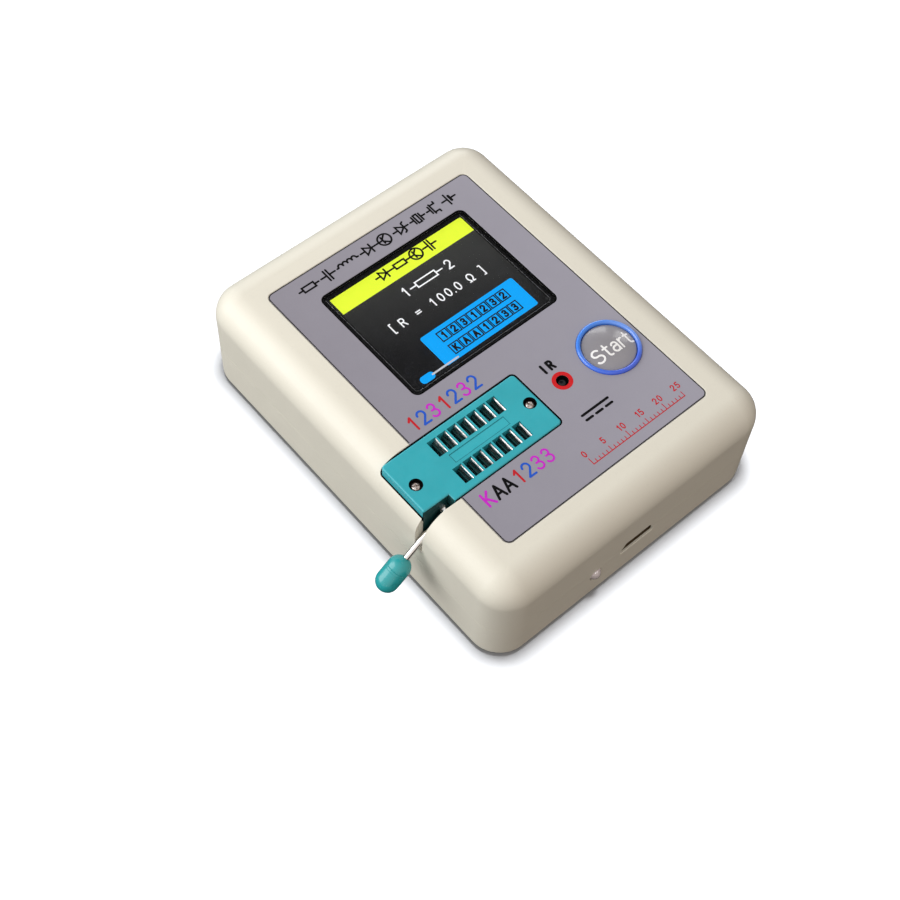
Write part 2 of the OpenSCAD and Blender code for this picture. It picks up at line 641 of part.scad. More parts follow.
top_shell();
bottom_shell();
case_screws();
face_label();
screen_window();
lcd_glass();
lcd_backlight();
lcd_board();
lcd_standoffs();
lcd_screws();
lcd_header_socket();
lcd_header();
lcd_pins();
main_board();
board_screws();
socket_base();
socket_cover();
socket_slider();
socket_contacts();
socket_screws();
lever_rod();
lever_knob();
button_ring();
start_button();
switch_body();
switch_plate();
switch_plunger();
ir_receiver();
ir_legs();
usb_shell();
usb_tongue();
charge_led();
led_legs();
battery();
battery_tape();
battery_lead_red();
battery_lead_black();
battery_plug();
battery_socket();
microcontroller();
microcontroller_pins();
crystal();
power_inductor();
charger_chip();
chip_parts();
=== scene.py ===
import json
import math

import bmesh
import bpy
from mathutils import Matrix, Vector

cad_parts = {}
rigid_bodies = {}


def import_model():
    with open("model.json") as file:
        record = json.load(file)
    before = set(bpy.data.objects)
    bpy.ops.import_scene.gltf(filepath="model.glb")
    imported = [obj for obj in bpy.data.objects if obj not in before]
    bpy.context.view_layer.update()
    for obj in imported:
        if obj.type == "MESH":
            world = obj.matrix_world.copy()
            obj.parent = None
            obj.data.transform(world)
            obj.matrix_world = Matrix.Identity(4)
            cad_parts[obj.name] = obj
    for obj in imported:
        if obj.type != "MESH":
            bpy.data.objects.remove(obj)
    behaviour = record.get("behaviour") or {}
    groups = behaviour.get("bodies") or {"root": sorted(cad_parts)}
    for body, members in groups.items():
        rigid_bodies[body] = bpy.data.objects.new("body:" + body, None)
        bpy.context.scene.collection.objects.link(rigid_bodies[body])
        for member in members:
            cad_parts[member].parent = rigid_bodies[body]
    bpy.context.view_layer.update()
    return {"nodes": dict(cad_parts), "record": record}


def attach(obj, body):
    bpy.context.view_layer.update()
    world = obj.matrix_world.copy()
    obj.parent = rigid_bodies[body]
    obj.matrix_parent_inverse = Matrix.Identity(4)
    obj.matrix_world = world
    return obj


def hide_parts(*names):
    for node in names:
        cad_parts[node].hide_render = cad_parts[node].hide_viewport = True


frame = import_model()
nodes = frame["nodes"]
scene = bpy.context.scene
PI = math.pi

# Every length in the shape code is in millimetres, in the row frame, and becomes metres in piece().

# ------------------------------------------------------------------ materials


def clear(name):
    m = bpy.data.materials.new(name)
    m.use_nodes = True
    t = m.node_tree
    t.nodes.clear()
    out = t.nodes.new("ShaderNodeOutputMaterial")
    b = t.nodes.new("ShaderNodeBsdfPrincipled")
    t.links.new(b.outputs[0], out.inputs[0])
    return m, t, b


def node(t, kind, **values):
    n = t.nodes.new(kind)
    for k, v in values.items():
        if k in n.inputs:
            n.inputs[k].default_value = v
        else:
            setattr(n, k, v)
    return n


def coords(t, stretch=None, turn=None):
    c = t.nodes.new("ShaderNodeTexCoord").outputs["Object"]
    if stretch or turn:
        m = node(t, "ShaderNodeMapping", Scale=stretch or (1, 1, 1), Rotation=turn or (0, 0, 0))
        t.links.new(c, m.inputs["Vector"])
        return m.outputs[0]
    return c


def noise(t, scale, detail=2.0, rough=0.5, stretch=None, turn=None):
    n = node(t, "ShaderNodeTexNoise", Scale=scale, Detail=detail, Roughness=rough)
    t.links.new(coords(t, stretch, turn), n.inputs["Vector"])
    return n.outputs["Fac"]


def span(t, fac, lo, hi, a=0.3, b=0.7):
    r = node(t, "ShaderNodeMapRange")
    r.inputs["From Min"].default_value = a
    r.inputs["From Max"].default_value = b
    r.inputs["To Min"].default_value = lo
    r.inputs["To Max"].default_value = hi
    t.links.new(fac, r.inputs["Value"])
    return r.outputs["Result"]


def mix(t, fac, a, b):
    m = t.nodes.new("ShaderNodeMix")
    m.data_type = "RGBA"
    for s, v in ((6, a), (7, b)):
        if isinstance(v, (tuple, list)):
            m.inputs[s].default_value = (*v[:3], 1)
        else:
            t.links.new(v, m.inputs[s])
    if isinstance(fac, (int, float)):
        m.inputs[0].default_value = fac
    else:
        t.links.new(fac, m.inputs[0])
    return m.outputs[2]


def bump(t, b, height, strength, distance, prev=None):
    n = node(t, "ShaderNodeBump", Strength=strength, Distance=distance)
    t.links.new(height, n.inputs["Height"])
    if prev is not None:
        t.links.new(prev, n.inputs["Normal"])
    t.links.new(n.outputs[0], b.inputs["Normal"])
    return n.outputs[0]


def shade(c, k):
    return tuple(max(0.0, min(1.0, v * k)) for v in c)


def plastic(name, color, rough=0.35, vary=0.03, grain=2600.0, up=0.10, rough_vary=0.05, spec=0.5,
            broad=60.0, edge_wear_and_highlight=0.0, coat=0.0, hollow_dark=0.0):
    """Moulded plastic: a fine spark-eroded grain, soft mottling of the colour, uneven gloss, rubbed edges lightened
    partly as a painted highlight, colour darker in hollows and creases.
    """
    m, t, b = clear(name)
    big = noise(t, broad, 3)
    col = mix(t, span(t, big, 0, 1), shade(color, 1 - vary), shade(color, 1 + vary))
    specks = noise(t, grain * 0.5, 2)
    col = mix(t, span(t, specks, 0, 0.35, 0.58, 0.75), col, shade(color, 0.93))
    if edge_wear_and_highlight or hollow_dark:
        g = t.nodes.new("ShaderNodeNewGeometry").outputs["Pointiness"]
        if edge_wear_and_highlight:
            # lighter on sharp edges: rubbed wear, partly a painted highlight
            col = mix(t, span(t, g, 0, edge_wear_and_highlight, 0.52, 0.62), col, shade(color, 1.2))
        if hollow_dark:
            # darker in hollows and creases
            col = mix(t, span(t, g, hollow_dark, 0, 0.38, 0.48), col, shade(color, 0.55))
    t.links.new(col, b.inputs["Base Color"])
    mid = noise(t, broad * 6, 4)
    t.links.new(span(t, mid, rough - rough_vary, rough + rough_vary), b.inputs["Roughness"])
    b.inputs["Specular IOR Level"].default_value = spec
    if coat:
        b.inputs["Coat Weight"].default_value = coat
        b.inputs["Coat Roughness"].default_value = 0.06
    n = bump(t, b, noise(t, grain, 2), up, 0.00003)
    bump(t, b, noise(t, broad * 1.5, 2), 0.12, 0.00006, n)
    return m


def metal(name, color, rough=0.25, stretch=(1, 1, 1), scale=900.0, vary=0.12, up=0.12, tarnish=0.15):
    """Plated or drawn metal: fine lines, cloudy tarnish and uneven gloss."""
    m, t, b = clear(name)
    b.inputs["Metallic"].default_value = 1.0
    cloud = noise(t, 260, 4, 0.6)
    col = mix(t, span(t, cloud, 0, 1), shade(color, 1 - tarnish), shade(color, 1.04))
    t.links.new(col, b.inputs["Base Color"])
    lines = noise(t, scale, 3, 0.6, stretch)
    t.links.new(span(t, lines, rough * (1 - vary * 2), rough * (1 + vary * 2)), b.inputs["Roughness"])
    bump(t, b, lines, up, 0.00001)
    return m


def ink(name, color, rough=0.42, spec=0.25):
    """Screen-printed ink: slightly uneven cover and gloss."""
    m, t, b = clear(name)
    n = noise(t, 3500, 2)
    t.links.new(mix(t, span(t, n, 0, 1), shade(color, 0.9), shade(color, 1.06)), b.inputs["Base Color"])
    t.links.new(span(t, noise(t, 900, 2), rough - 0.06, rough + 0.06), b.inputs["Roughness"])
    b.inputs["Specular IOR Level"].default_value = spec
    bump(t, b, n, 0.08, 0.00002)
    return m


def lit(name, color, power):
    """A lit part of the picture: rows of small square cells, a little darker between them."""
    m, t, b = clear(name)
    b.inputs["Base Color"].default_value = (*shade(color, 0.3), 1)
    b.inputs["Roughness"].default_value = 0.5
    b.inputs["Specular IOR Level"].default_value = 0.0
    k = node(t, "ShaderNodeTexBrick", Scale=1.0)
    k.offset = 0.0
    k.inputs["Color1"].default_value = (*color, 1)
    k.inputs["Color2"].default_value = (*color, 1)
    k.inputs["Mortar"].default_value = (*shade(color, 0.82), 1)
    k.inputs["Mortar Size"].default_value = 0.00001
    k.inputs["Mortar Smooth"].default_value = 0.6
    k.inputs["Brick Width"].default_value = 0.000219
    k.inputs["Row Height"].default_value = 0.000219
    t.links.new(coords(t), k.inputs["Vector"])
    t.links.new(k.outputs["Color"], b.inputs["Emission Color"])
    b.inputs["Emission Strength"].default_value = power
    return m


def board(name, mask, copper):
    """Circuit board: solder mask with tracks under it and plated holes."""
    m, t, b = clear(name)
    v = node(t, "ShaderNodeTexVoronoi", Scale=420.0, distance="CHEBYCHEV", feature="F1")
    t.links.new(coords(t), v.inputs["Vector"])
    tracks = span(t, v.outputs["Distance"], 0, 1, 0.42, 0.45)
    w = node(t, "ShaderNodeTexVoronoi", Scale=260.0, feature="F1")
    t.links.new(coords(t), w.inputs["Vector"])
    via = span(t, w.outputs["Distance"], 1, 0, 0.07, 0.085)
    col = mix(t, span(t, noise(t, 90, 3), 0, 1), shade(mask, 0.9), shade(mask, 1.1))
    col = mix(t, tracks, col, shade(mask, 1.6))
    col = mix(t, via, col, copper)
    t.links.new(col, b.inputs["Base Color"])
    t.links.new(span(t, noise(t, 500, 3), 0.25, 0.38), b.inputs["Roughness"])
    t.links.new(via, b.inputs["Metallic"])
    bump(t, b, tracks, 0.25, 0.00003)
    return m


MAT = {}
IVORY = (0.80, 0.772, 0.668)
MAT["case"] = plastic("case_plastic", IVORY, 0.40, 0.012, 3200, 0.09, broad=45, edge_wear_and_highlight=0.10, hollow_dark=0.25)
# a dark brown copy of the case plastic: painted shade deep inside the slit
MAT["case_deep"] = plastic("case_plastic_painted_shade", (0.080, 0.055, 0.028), 0.6, 0.03, 3200, 0.09, broad=45, spec=0.2)
MAT["label"] = plastic("label_film", (0.335, 0.320, 0.375), 0.38, 0.018, 5200, 0.05, broad=70)
# painted light and shade: the film's colour is darker towards the display end and the left, lighter towards the right
# and front
t = MAT["label"].node_tree
b = t.nodes["Principled BSDF"]
sep = t.nodes.new("ShaderNodeSeparateXYZ")
t.links.new(coords(t), sep.inputs[0])
lean = node(t, "ShaderNodeMath", operation="MULTIPLY_ADD")
t.links.new(sep.outputs["Y"], lean.inputs[0])
lean.inputs[1].default_value = -0.45
t.links.new(sep.outputs["X"], lean.inputs[2])
src = b.inputs["Base Color"].links[0].from_socket
light_fall_tone = t.nodes.new("ShaderNodeMix")
light_fall_tone.data_type = "RGBA"
light_fall_tone.blend_type = "MULTIPLY"
light_fall_tone.inputs[0].default_value = 1.0
t.links.new(src, light_fall_tone.inputs[6])
t.links.new(mix(t, span(t, lean.outputs[0], 0, 1, -0.04, 0.04), (0.86, 0.86, 0.86), (1.10, 1.12, 1.13)), light_fall_tone.inputs[7])
t.links.new(light_fall_tone.outputs[2], b.inputs["Base Color"])
MAT["teal"] = plastic("socket_teal", (0.040, 0.430, 0.505), 0.34, 0.05, 2800, 0.12, broad=140, edge_wear_and_highlight=0.35, hollow_dark=0.4)
# a darker copy of the socket teal for the base under the cover: painted shade
MAT["teal_dark"] = plastic("socket_teal_dark", (0.03, 0.31, 0.36), 0.38, 0.05, 2800, 0.12, broad=140, edge_wear_and_highlight=0.2, hollow_dark=0.3)
# dark teal for the line round the socket's panel: painted shade of its engraved edge
MAT["teal_line"] = plastic("socket_panel_shade_line", (0.016, 0.20, 0.24), 0.5, 0.06, 2800, 0.12, broad=140, spec=0.3)
MAT["knob"] = plastic("knob_teal", (0.028, 0.375, 0.395), 0.24, 0.04, 1500, 0.05, broad=160, coat=0.3)
# a dark copy of the socket teal for the slider deep under the cover: painted shade
MAT["nylon"] = plastic("slider_plastic", (0.045, 0.17, 0.18), 0.42, 0.05)
MAT["black"] = plastic("black_plastic", (0.014, 0.014, 0.016), 0.36, 0.12, up=0.14)
MAT["chip"] = plastic("chip_black", (0.018, 0.018, 0.019), 0.5, 0.12, 5000, 0.2)
MAT["white"] = plastic("white_plastic", (0.78, 0.78, 0.74), 0.42, 0.03)
MAT["tan"] = plastic("chip_tan", (0.46, 0.33, 0.20), 0.5, 0.12, 6000, 0.2)
MAT["tape"] = plastic("tape_white", (0.80, 0.80, 0.74), 0.8, 0.05, 900, 0.6)
MAT["lead_red"] = plastic("lead_red", (0.55, 0.015, 0.015), 0.45, 0.06)
MAT["lead_black"] = plastic("lead_black", (0.016, 0.016, 0.017), 0.45, 0.1)
MAT["steel"] = metal("screw_steel", (0.80, 0.73, 0.69), 0.30)
MAT["rod"] = metal("lever_steel", (0.86, 0.85, 0.84), 0.14, scale=1200, tarnish=0.06)
MAT["contact"] = metal("contact_metal", (0.90, 0.88, 0.84), 0.16, tarnish=0.08)
MAT["leaf"] = metal("contact_leaf", (0.66, 0.60, 0.58), 0.30, (1, 0.25, 1), 2600, vary=0.5, tarnish=0.45)
# a very dark copy of the socket teal: painted shade in the lever notch and the slots
MAT["teal_deep"] = plastic("socket_teal_deep", (0.010, 0.070, 0.072), 0.5, 0.1, 2800, 0.12, broad=140, spec=0.3)
MAT["gold"] = metal("gold_pins", (0.80, 0.58, 0.26), 0.24)
MAT["brass"] = metal("brass_turned", (0.72, 0.55, 0.26), 0.28, (1, 1, 12))
MAT["tin"] = metal("tin_sheet", (0.70, 0.70, 0.71), 0.30)
MAT["pcb_green"] = board("board_green", (0.012, 0.105, 0.045), (0.75, 0.55, 0.25))
MAT["pcb_blue"] = board("board_blue", (0.012, 0.055, 0.19), (0.75, 0.55, 0.25))
MAT["ir"] = plastic("ir_black", (0.006, 0.005, 0.007), 0.1, 0.1, 2000, 0.02, rough_vary=0.03)
MAT["ink_black"] = ink("ink_black", (0.0035, 0.0035, 0.004), 0.5, 0.08)
MAT["ink_line"] = ink("ink_line", (0.012, 0.012, 0.012), 0.5, 0.1)
MAT["ink_red"] = ink("ink_red", (0.56, 0.018, 0.026))
MAT["ink_ring"] = ink("ink_ring", (0.66, 0.012, 0.016))
MAT["ink_blue"] = ink("ink_blue", (0.020, 0.105, 0.60))
MAT["ink_magenta"] = ink("ink_magenta", (0.60, 0.030, 0.60))
MAT["border_line"] = ink("border_line", (0.20, 0.20, 0.205), 0.5)
MAT["ink_white"] = ink("ink_white", (0.93, 0.93, 0.93), 0.3)
MAT["lit_yellow"] = lit("lit_yellow", (0.84, 1.0, 0.045), 1.0)
MAT["lit_blue"] = lit("lit_blue", (0.003, 0.385, 0.95), 1.0)
MAT["lit_white"] = lit("lit_white", (0.93, 0.93, 0.93), 1.0)
MAT["lit_grey"] = lit("lit_grey", (0.55, 0.56, 0.60), 1.0)
MAT["lit_off"] = ink("lit_off", (0.004, 0.004, 0.005), 0.5)


def glass(name, color, rough=0.02, ior=1.49, through=1.0):
    """Clear moulded part: faint haze and flow lines."""
    m, t, b = clear(name)
    t.links.new(mix(t, span(t, noise(t, 300, 3), 0, 1), shade(color, 0.97), color), b.inputs["Base Color"])
    b.inputs["Transmission Weight"].default_value = through
    b.inputs["IOR"].default_value = ior
    t.links.new(span(t, noise(t, 700, 3), rough * 0.6, rough * 1.6), b.inputs["Roughness"])
    bump(t, b, noise(t, 500, 2), 0.02, 0.00003)
    return m


MAT["window"] = glass("window_clear", (0.97, 0.98, 1.0), 0.008)
MAT["led"] = glass("led_clear", (0.82, 0.73, 0.73), 0.10, 1.5, 0.35)
MAT["led"].node_tree.nodes["Principled BSDF"].inputs["Coat Weight"].default_value = 1.0
MAT["led"].node_tree.nodes["Principled BSDF"].inputs["Coat Roughness"].default_value = 0.04
MAT["border"] = ink("screen_border", (0.004, 0.004, 0.0045), 0.3, 0.12)
MAT["gap"] = ink("gap_black", (0.003, 0.003, 0.003), 0.8, 0.05)

# the dark panel: the back light glows faintly towards its upper end
m, t, b = clear("lcd_dark")
b.inputs["Base Color"].default_value = (0.012, 0.012, 0.013, 1)
t.links.new(span(t, noise(t, 400, 3), 0.18, 0.26), b.inputs["Roughness"])
b.inputs["Specular IOR Level"].default_value = 0.3
sep = t.nodes.new("ShaderNodeSeparateXYZ")
t.links.new(coords(t), sep.inputs[0])
add = node(t, "ShaderNodeMath", operation="MULTIPLY_ADD")
t.links.new(sep.outputs["X"], add.inputs[0])
add.inputs[1].default_value = 0.35
t.links.new(sep.outputs["Y"], add.inputs[2])
glow = span(t, add.outputs[0], 0.0, 1.0, 0.004, 0.026)
t.links.new(mix(t, glow, (0.002, 0.002, 0.0025), (0.034, 0.034, 0.032)), b.inputs["Emission Color"])
b.inputs["Emission Strength"].default_value = 1.0
MAT["lcd"] = m

# smoky translucent cap, and the blue ring that light is led through
m, t, b = clear("cap_grey")
t.links.new(mix(t, span(t, noise(t, 120, 3), 0, 1), (0.27, 0.262, 0.285), (0.31, 0.30, 0.325)), b.inputs["Base Color"])
t.links.new(span(t, noise(t, 500, 3), 0.14, 0.22), b.inputs["Roughness"])
b.inputs["Subsurface Weight"].default_value = 0.15
b.inputs["Subsurface Radius"].default_value = (0.8, 0.8, 1.0)
b.inputs["Subsurface Scale"].default_value = 0.0008
b.inputs["Coat Weight"].default_value = 0.5
b.inputs["Coat Roughness"].default_value = 0.08
bump(t, b, noise(t, 350, 2), 0.03, 0.00004)
MAT["cap"] = m

m, t, b = clear("ring_blue")
sep = t.nodes.new("ShaderNodeSeparateXYZ")
t.links.new(coords(t), sep.inputs[0])
# painted light: azure towards +Y and deep blue towards -Y as light falls on the ring, with a painted pale highlight on
# its +X side
col = mix(t, span(t, sep.outputs["Y"], 0, 1, -0.0225, -0.0105), (0.010, 0.075, 0.66), (0.030, 0.235, 0.84))
col = mix(t, span(t, sep.outputs["X"], 0, 0.5, 0.0225, 0.0260), col, (0.30, 0.50, 0.88))
t.links.new(mix(t, span(t, noise(t, 150, 3), 0, 1), col, mix(t, 0.1, col, (0.6, 0.7, 1.0))), b.inputs["Base Color"])
t.links.new(span(t, noise(t, 600, 3), 0.14, 0.24), b.inputs["Roughness"])
b.inputs["Coat Weight"].default_value = 0.6
b.inputs["Coat Roughness"].default_value = 0.1
b.inputs["Emission Color"].default_value = (0.01, 0.08, 0.6, 1)
b.inputs["Emission Strength"].default_value = 0.08
bump(t, b, noise(t, 400, 2), 0.03, 0.00004)
MAT["ring"] = m

# laminated foil of the cell, creased
m, t, b = clear("pouch_foil")
t.links.new(mix(t, span(t, noise(t, 60, 4), 0, 1), (0.55, 0.56, 0.59), (0.68, 0.69, 0.72)), b.inputs["Base Color"])
b.inputs["Metallic"].default_value = 0.85
t.links.new(span(t, noise(t, 300, 4), 0.3, 0.5), b.inputs["Roughness"])
bump(t, b, noise(t, 140, 5, 0.6, (1, 0.4, 1)), 0.5, 0.0002)
MAT["foil"] = m

# ------------------------------------------------------------------ mesh tools


def edge_angle(e):
    return e.calc_face_angle(0.0) if len(e.link_faces) == 2 else 0.0


def piece(bm, name, body, mats, repl=(), sharp=32.0, weighted=True, recalc=True):
    """Ends a bmesh in millimetres as an object that rides on a body."""
    if recalc:
        bmesh.ops.recalc_face_normals(bm, faces=bm.faces)
    for f in bm.faces:
        f.smooth = True
    lim = math.radians(sharp)
    for e in bm.edges:
        e.smooth = edge_angle(e) < lim
    bm.transform(Matrix.Scale(0.001, 4))
    me = bpy.data.meshes.new(name)
    bm.to_mesh(me)
    bm.free()
    for x in (mats if isinstance(mats, (list, tuple)) else [mats]):
        me.materials.append(x)
    o = bpy.data.objects.new(name, me)
    scene.collection.objects.link(o)
    if weighted:
        w = o.modifiers.new("even_normals", "WEIGHTED_NORMAL")
        w.keep_sharp = True
        w.weight = 60
        w.mode = "FACE_AREA"
    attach(o, body)
    if repl:
        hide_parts(*repl)
    return o


def round_edges(bm, edges, width, segs=2, clamp=True):
    edges = [e for e in edges if e.is_valid]
    if edges:
        bmesh.ops.bevel(bm, geom=edges, offset=width, offset_type="OFFSET", segments=segs, profile=0.5,
                        affect="EDGES", clamp_overlap=clamp)


def cad_mesh(n, merge=0.004, flat=0.15):
    """The CAD node's mesh in millimetres, with the triangles of each flat face joined again."""
    bm = bmesh.new()
    bm.from_mesh(nodes[n].data)
    bm.transform(Matrix.Scale(1000, 4))
    bmesh.ops.remove_doubles(bm, verts=bm.verts, dist=merge)
    bmesh.ops.dissolve_limit(bm, angle_limit=math.radians(flat), verts=bm.verts, edges=bm.edges, delimit=set())
    return bm


def from_cad(n, mat, body="case", name=None, groups=(), rest=(0.1, 2), concave=False, merge=0.004, sharp=32.0,
             clamp=True, change=None, keep=None, after=None):
    """A detailed copy of a CAD node: its sharp edges are rounded, with their own radius for each group of edges."""
    bm = cad_mesh(n, merge)
    if change:
        change(bm)
    for test, width, segs in groups:
        round_edges(bm, [e for e in bm.edges if edge_angle(e) > 0.5 and test(e)
                         and (concave or e.calc_face_angle_signed(0.0) > 0)], width, segs, clamp)
        bmesh.ops.dissolve_limit(bm, angle_limit=math.radians(0.1), verts=bm.verts, edges=bm.edges, delimit=set())
    if rest:
        es = [e for e in bm.edges if edge_angle(e) > 0.55
              and (concave or e.calc_face_angle_signed(0.0) > 0) and not (keep and keep(e))]
        round_edges(bm, es, *rest, clamp)
    if after:
        after(bm)
    return piece(bm, name or n + "_shape", body, mat, (n,), sharp, recalc=False)


def rr(w, l, r, n=8, cx=0.0, cy=0.0):
    """Points of a rectangle with round corners, anticlockwise."""
    out = []
    for sx, sy, a0 in ((1, 1, 0), (-1, 1, 90), (-1, -1, 180), (1, -1, 270)):
        for i in range(n + 1):
            a = math.radians(a0 + 90 * i / n)
            out.append((cx + sx * (w / 2 - r) + r * math.cos(a), cy + sy * (l / 2 - r) + r * math.sin(a)))
    return out


def loft(bm, rings, cap=(True, True), closed=False, mat=0):
    vs = [[bm.verts.new(p) for p in ring] for ring in rings]
    n = len(vs[0])
    pairs = list(zip(vs, vs[1:])) + ([(vs[-1], vs[0])] if closed else [])
    for a, b in pairs:
        for i in range(n):
            f = bm.faces.new((a[i], a[(i + 1) % n], b[(i + 1) % n], b[i]))
            f.material_index = mat
    if not closed:
        if cap[0]:
            bm.faces.new(vs[0][::-1]).material_index = mat
        if cap[1]:
            bm.faces.new(vs[-1]).material_index = mat
    return vs


def lathe(bm, profile, n=96, closed=False, mat=0, at=None):
    """Turns (radius, height) points about Z. A radius of 0 becomes one point. at is a matrix."""
    at = at or Matrix.Identity(4)
    rows = []
    for r, z in profile:
        if r < 1e-6:
            rows.append([bm.verts.new(at @ Vector((0, 0, z)))])
        else:
            rows.append([bm.verts.new(at @ Vector((r * math.cos(2 * PI * i / n), r * math.sin(2 * PI * i / n), z)))
                         for i in range(n)])
    pairs = list(zip(rows, rows[1:])) + ([(rows[-1], rows[0])] if closed else [])
    for a, b in pairs:
        for i in range(n):
            j = (i + 1) % n
            if len(a) == 1 and len(b) == 1:
                break
            if len(a) == 1:
                f = bm.faces.new((a[0], b[i], b[j]))
            elif len(b) == 1:
                f = bm.faces.new((a[i], a[j], b[0]))
            else:
                f = bm.faces.new((a[i], a[j], b[j], b[i]))
            f.material_index = mat


def arc(cx, cy, rx, ry, a0, a1, n=12):
    return [(cx + rx * math.cos(math.radians(a0 + (a1 - a0) * i / n)),
             cy + ry * math.sin(math.radians(a0 + (a1 - a0) * i / n))) for i in range(n + 1)]


def slab(bm, w, l, r, z0, z1, rt=0.2, rb=0.1, cx=0.0, cy=0.0, n=8, k=4, mat=0):
    """Plate with round corners and rounded rims."""
    rings = []
    for i in range(k + 1):
        a = PI / 2 * i / k
        d = rb * (1 - math.sin(a))
        rings.append([(x, y, z0 + rb * (1 - math.cos(a))) for x, y in rr(w - 2 * d, l - 2 * d, max(r - d, 0.02), n, cx, cy)])
    for i in range(k + 1):
        a = PI / 2 * i / k
        d = rt * (1 - math.cos(a))
        rings.append([(x, y, z1 - rt + rt * math.sin(a)) for x, y in rr(w - 2 * d, l - 2 * d, max(r - d, 0.02), n, cx, cy)])
    loft(bm, rings, mat=mat)


def tube(bm, pts, r, n=20, mat=0, ends=True):
    """Round bar along points, r a number or one per point."""
    pts = [Vector(p) for p in pts]
    rs = r if isinstance(r, (list, tuple)) else [r] * len(pts)
    t0 = (pts[1] - pts[0]).normalized()
    u = t0.orthogonal().normalized()
    rings = []
    for i, p in enumerate(pts):
        a = pts[max(i - 1, 0)]
        c = pts[min(i + 1, len(pts) - 1)]
        t1 = (c - a).normalized()
        u = t0.rotation_difference(t1) @ u
        t0 = t1
        v = t1.cross(u).normalized()
        rings.append([tuple(p + rs[i] * (math.cos(2 * PI * j / n) * u + math.sin(2 * PI * j / n) * v)) for j in range(n)])
    loft(bm, rings, (ends, ends), mat=mat)


def box(bm, a, b, mat=0, r=0.0, segs=2):
    """Block between two corners, its edges rounded by r."""
    x0, y0, z0 = a
    x1, y1, z1 = b
    vs = [bm.verts.new(p) for p in ((x0, y0, z0), (x1, y0, z0), (x1, y1, z0), (x0, y1, z0),
                                    (x0, y0, z1), (x1, y0, z1), (x1, y1, z1), (x0, y1, z1))]
    fs = [bm.faces.new([vs[i] for i in q]) for q in ((3, 2, 1, 0), (4, 5, 6, 7), (0, 1, 5, 4), (1, 2, 6, 5), (2, 3, 7, 6), (3, 0, 4, 7))]
    for f in fs:
        f.material_index = mat
    if r:
        round_edges(bm, list({e for f in fs for e in f.edges}), r, segs)


def solve(bm, others, op="DIFFERENCE"):
    """Cuts or joins closed bmeshes. Returns a new bmesh."""
    def temp(x):
        me = bpy.data.meshes.new("tmp")
        x.to_mesh(me)
        x.free()
        o = bpy.data.objects.new("tmp", me)
        scene.collection.objects.link(o)
        return o
    base = temp(bm)
    tools = [temp(x) for x in others]
    for x in tools:
        k = base.modifiers.new("b", "BOOLEAN")
        k.operation = op
        k.solver = "EXACT"
        k.object = x
    bpy.context.view_layer.update()
    dg = bpy.context.evaluated_depsgraph_get()
    me = bpy.data.meshes.new_from_object(base.evaluated_get(dg))
    out = bmesh.new()
    out.from_mesh(me)
    for o in [base, *tools]:
        d = o.data
        bpy.data.objects.remove(o)
        bpy.data.meshes.remove(d)
    bpy.data.meshes.remove(me)
    return out

# ------------------------------------------------------------------ drawn marks


def corners(pts):
    """Splits a line where it turns sharply, so that each stretch keeps its width and has round ends."""
    pts = [Vector(p) for p in pts]
    out, run = [], [pts[0]]
    for i in range(1, len(pts) - 1):
        run.append(pts[i])
        if (pts[i] - pts[i - 1]).angle(pts[i + 1] - pts[i], 0.0) > math.radians(50):
            out.append(run)
            run = [pts[i]]
    run.append(pts[-1])
    return out + [run]


def dense(pts, step):
    out = [Vector(pts[0])]
    for a, b in zip(pts, pts[1:]):
        a, b = Vector(a), Vector(b)
        k = max(1, math.ceil((b - a).length / step))
        out += [a + (b - a) * i / k for i in range(1, k + 1)]
    return out


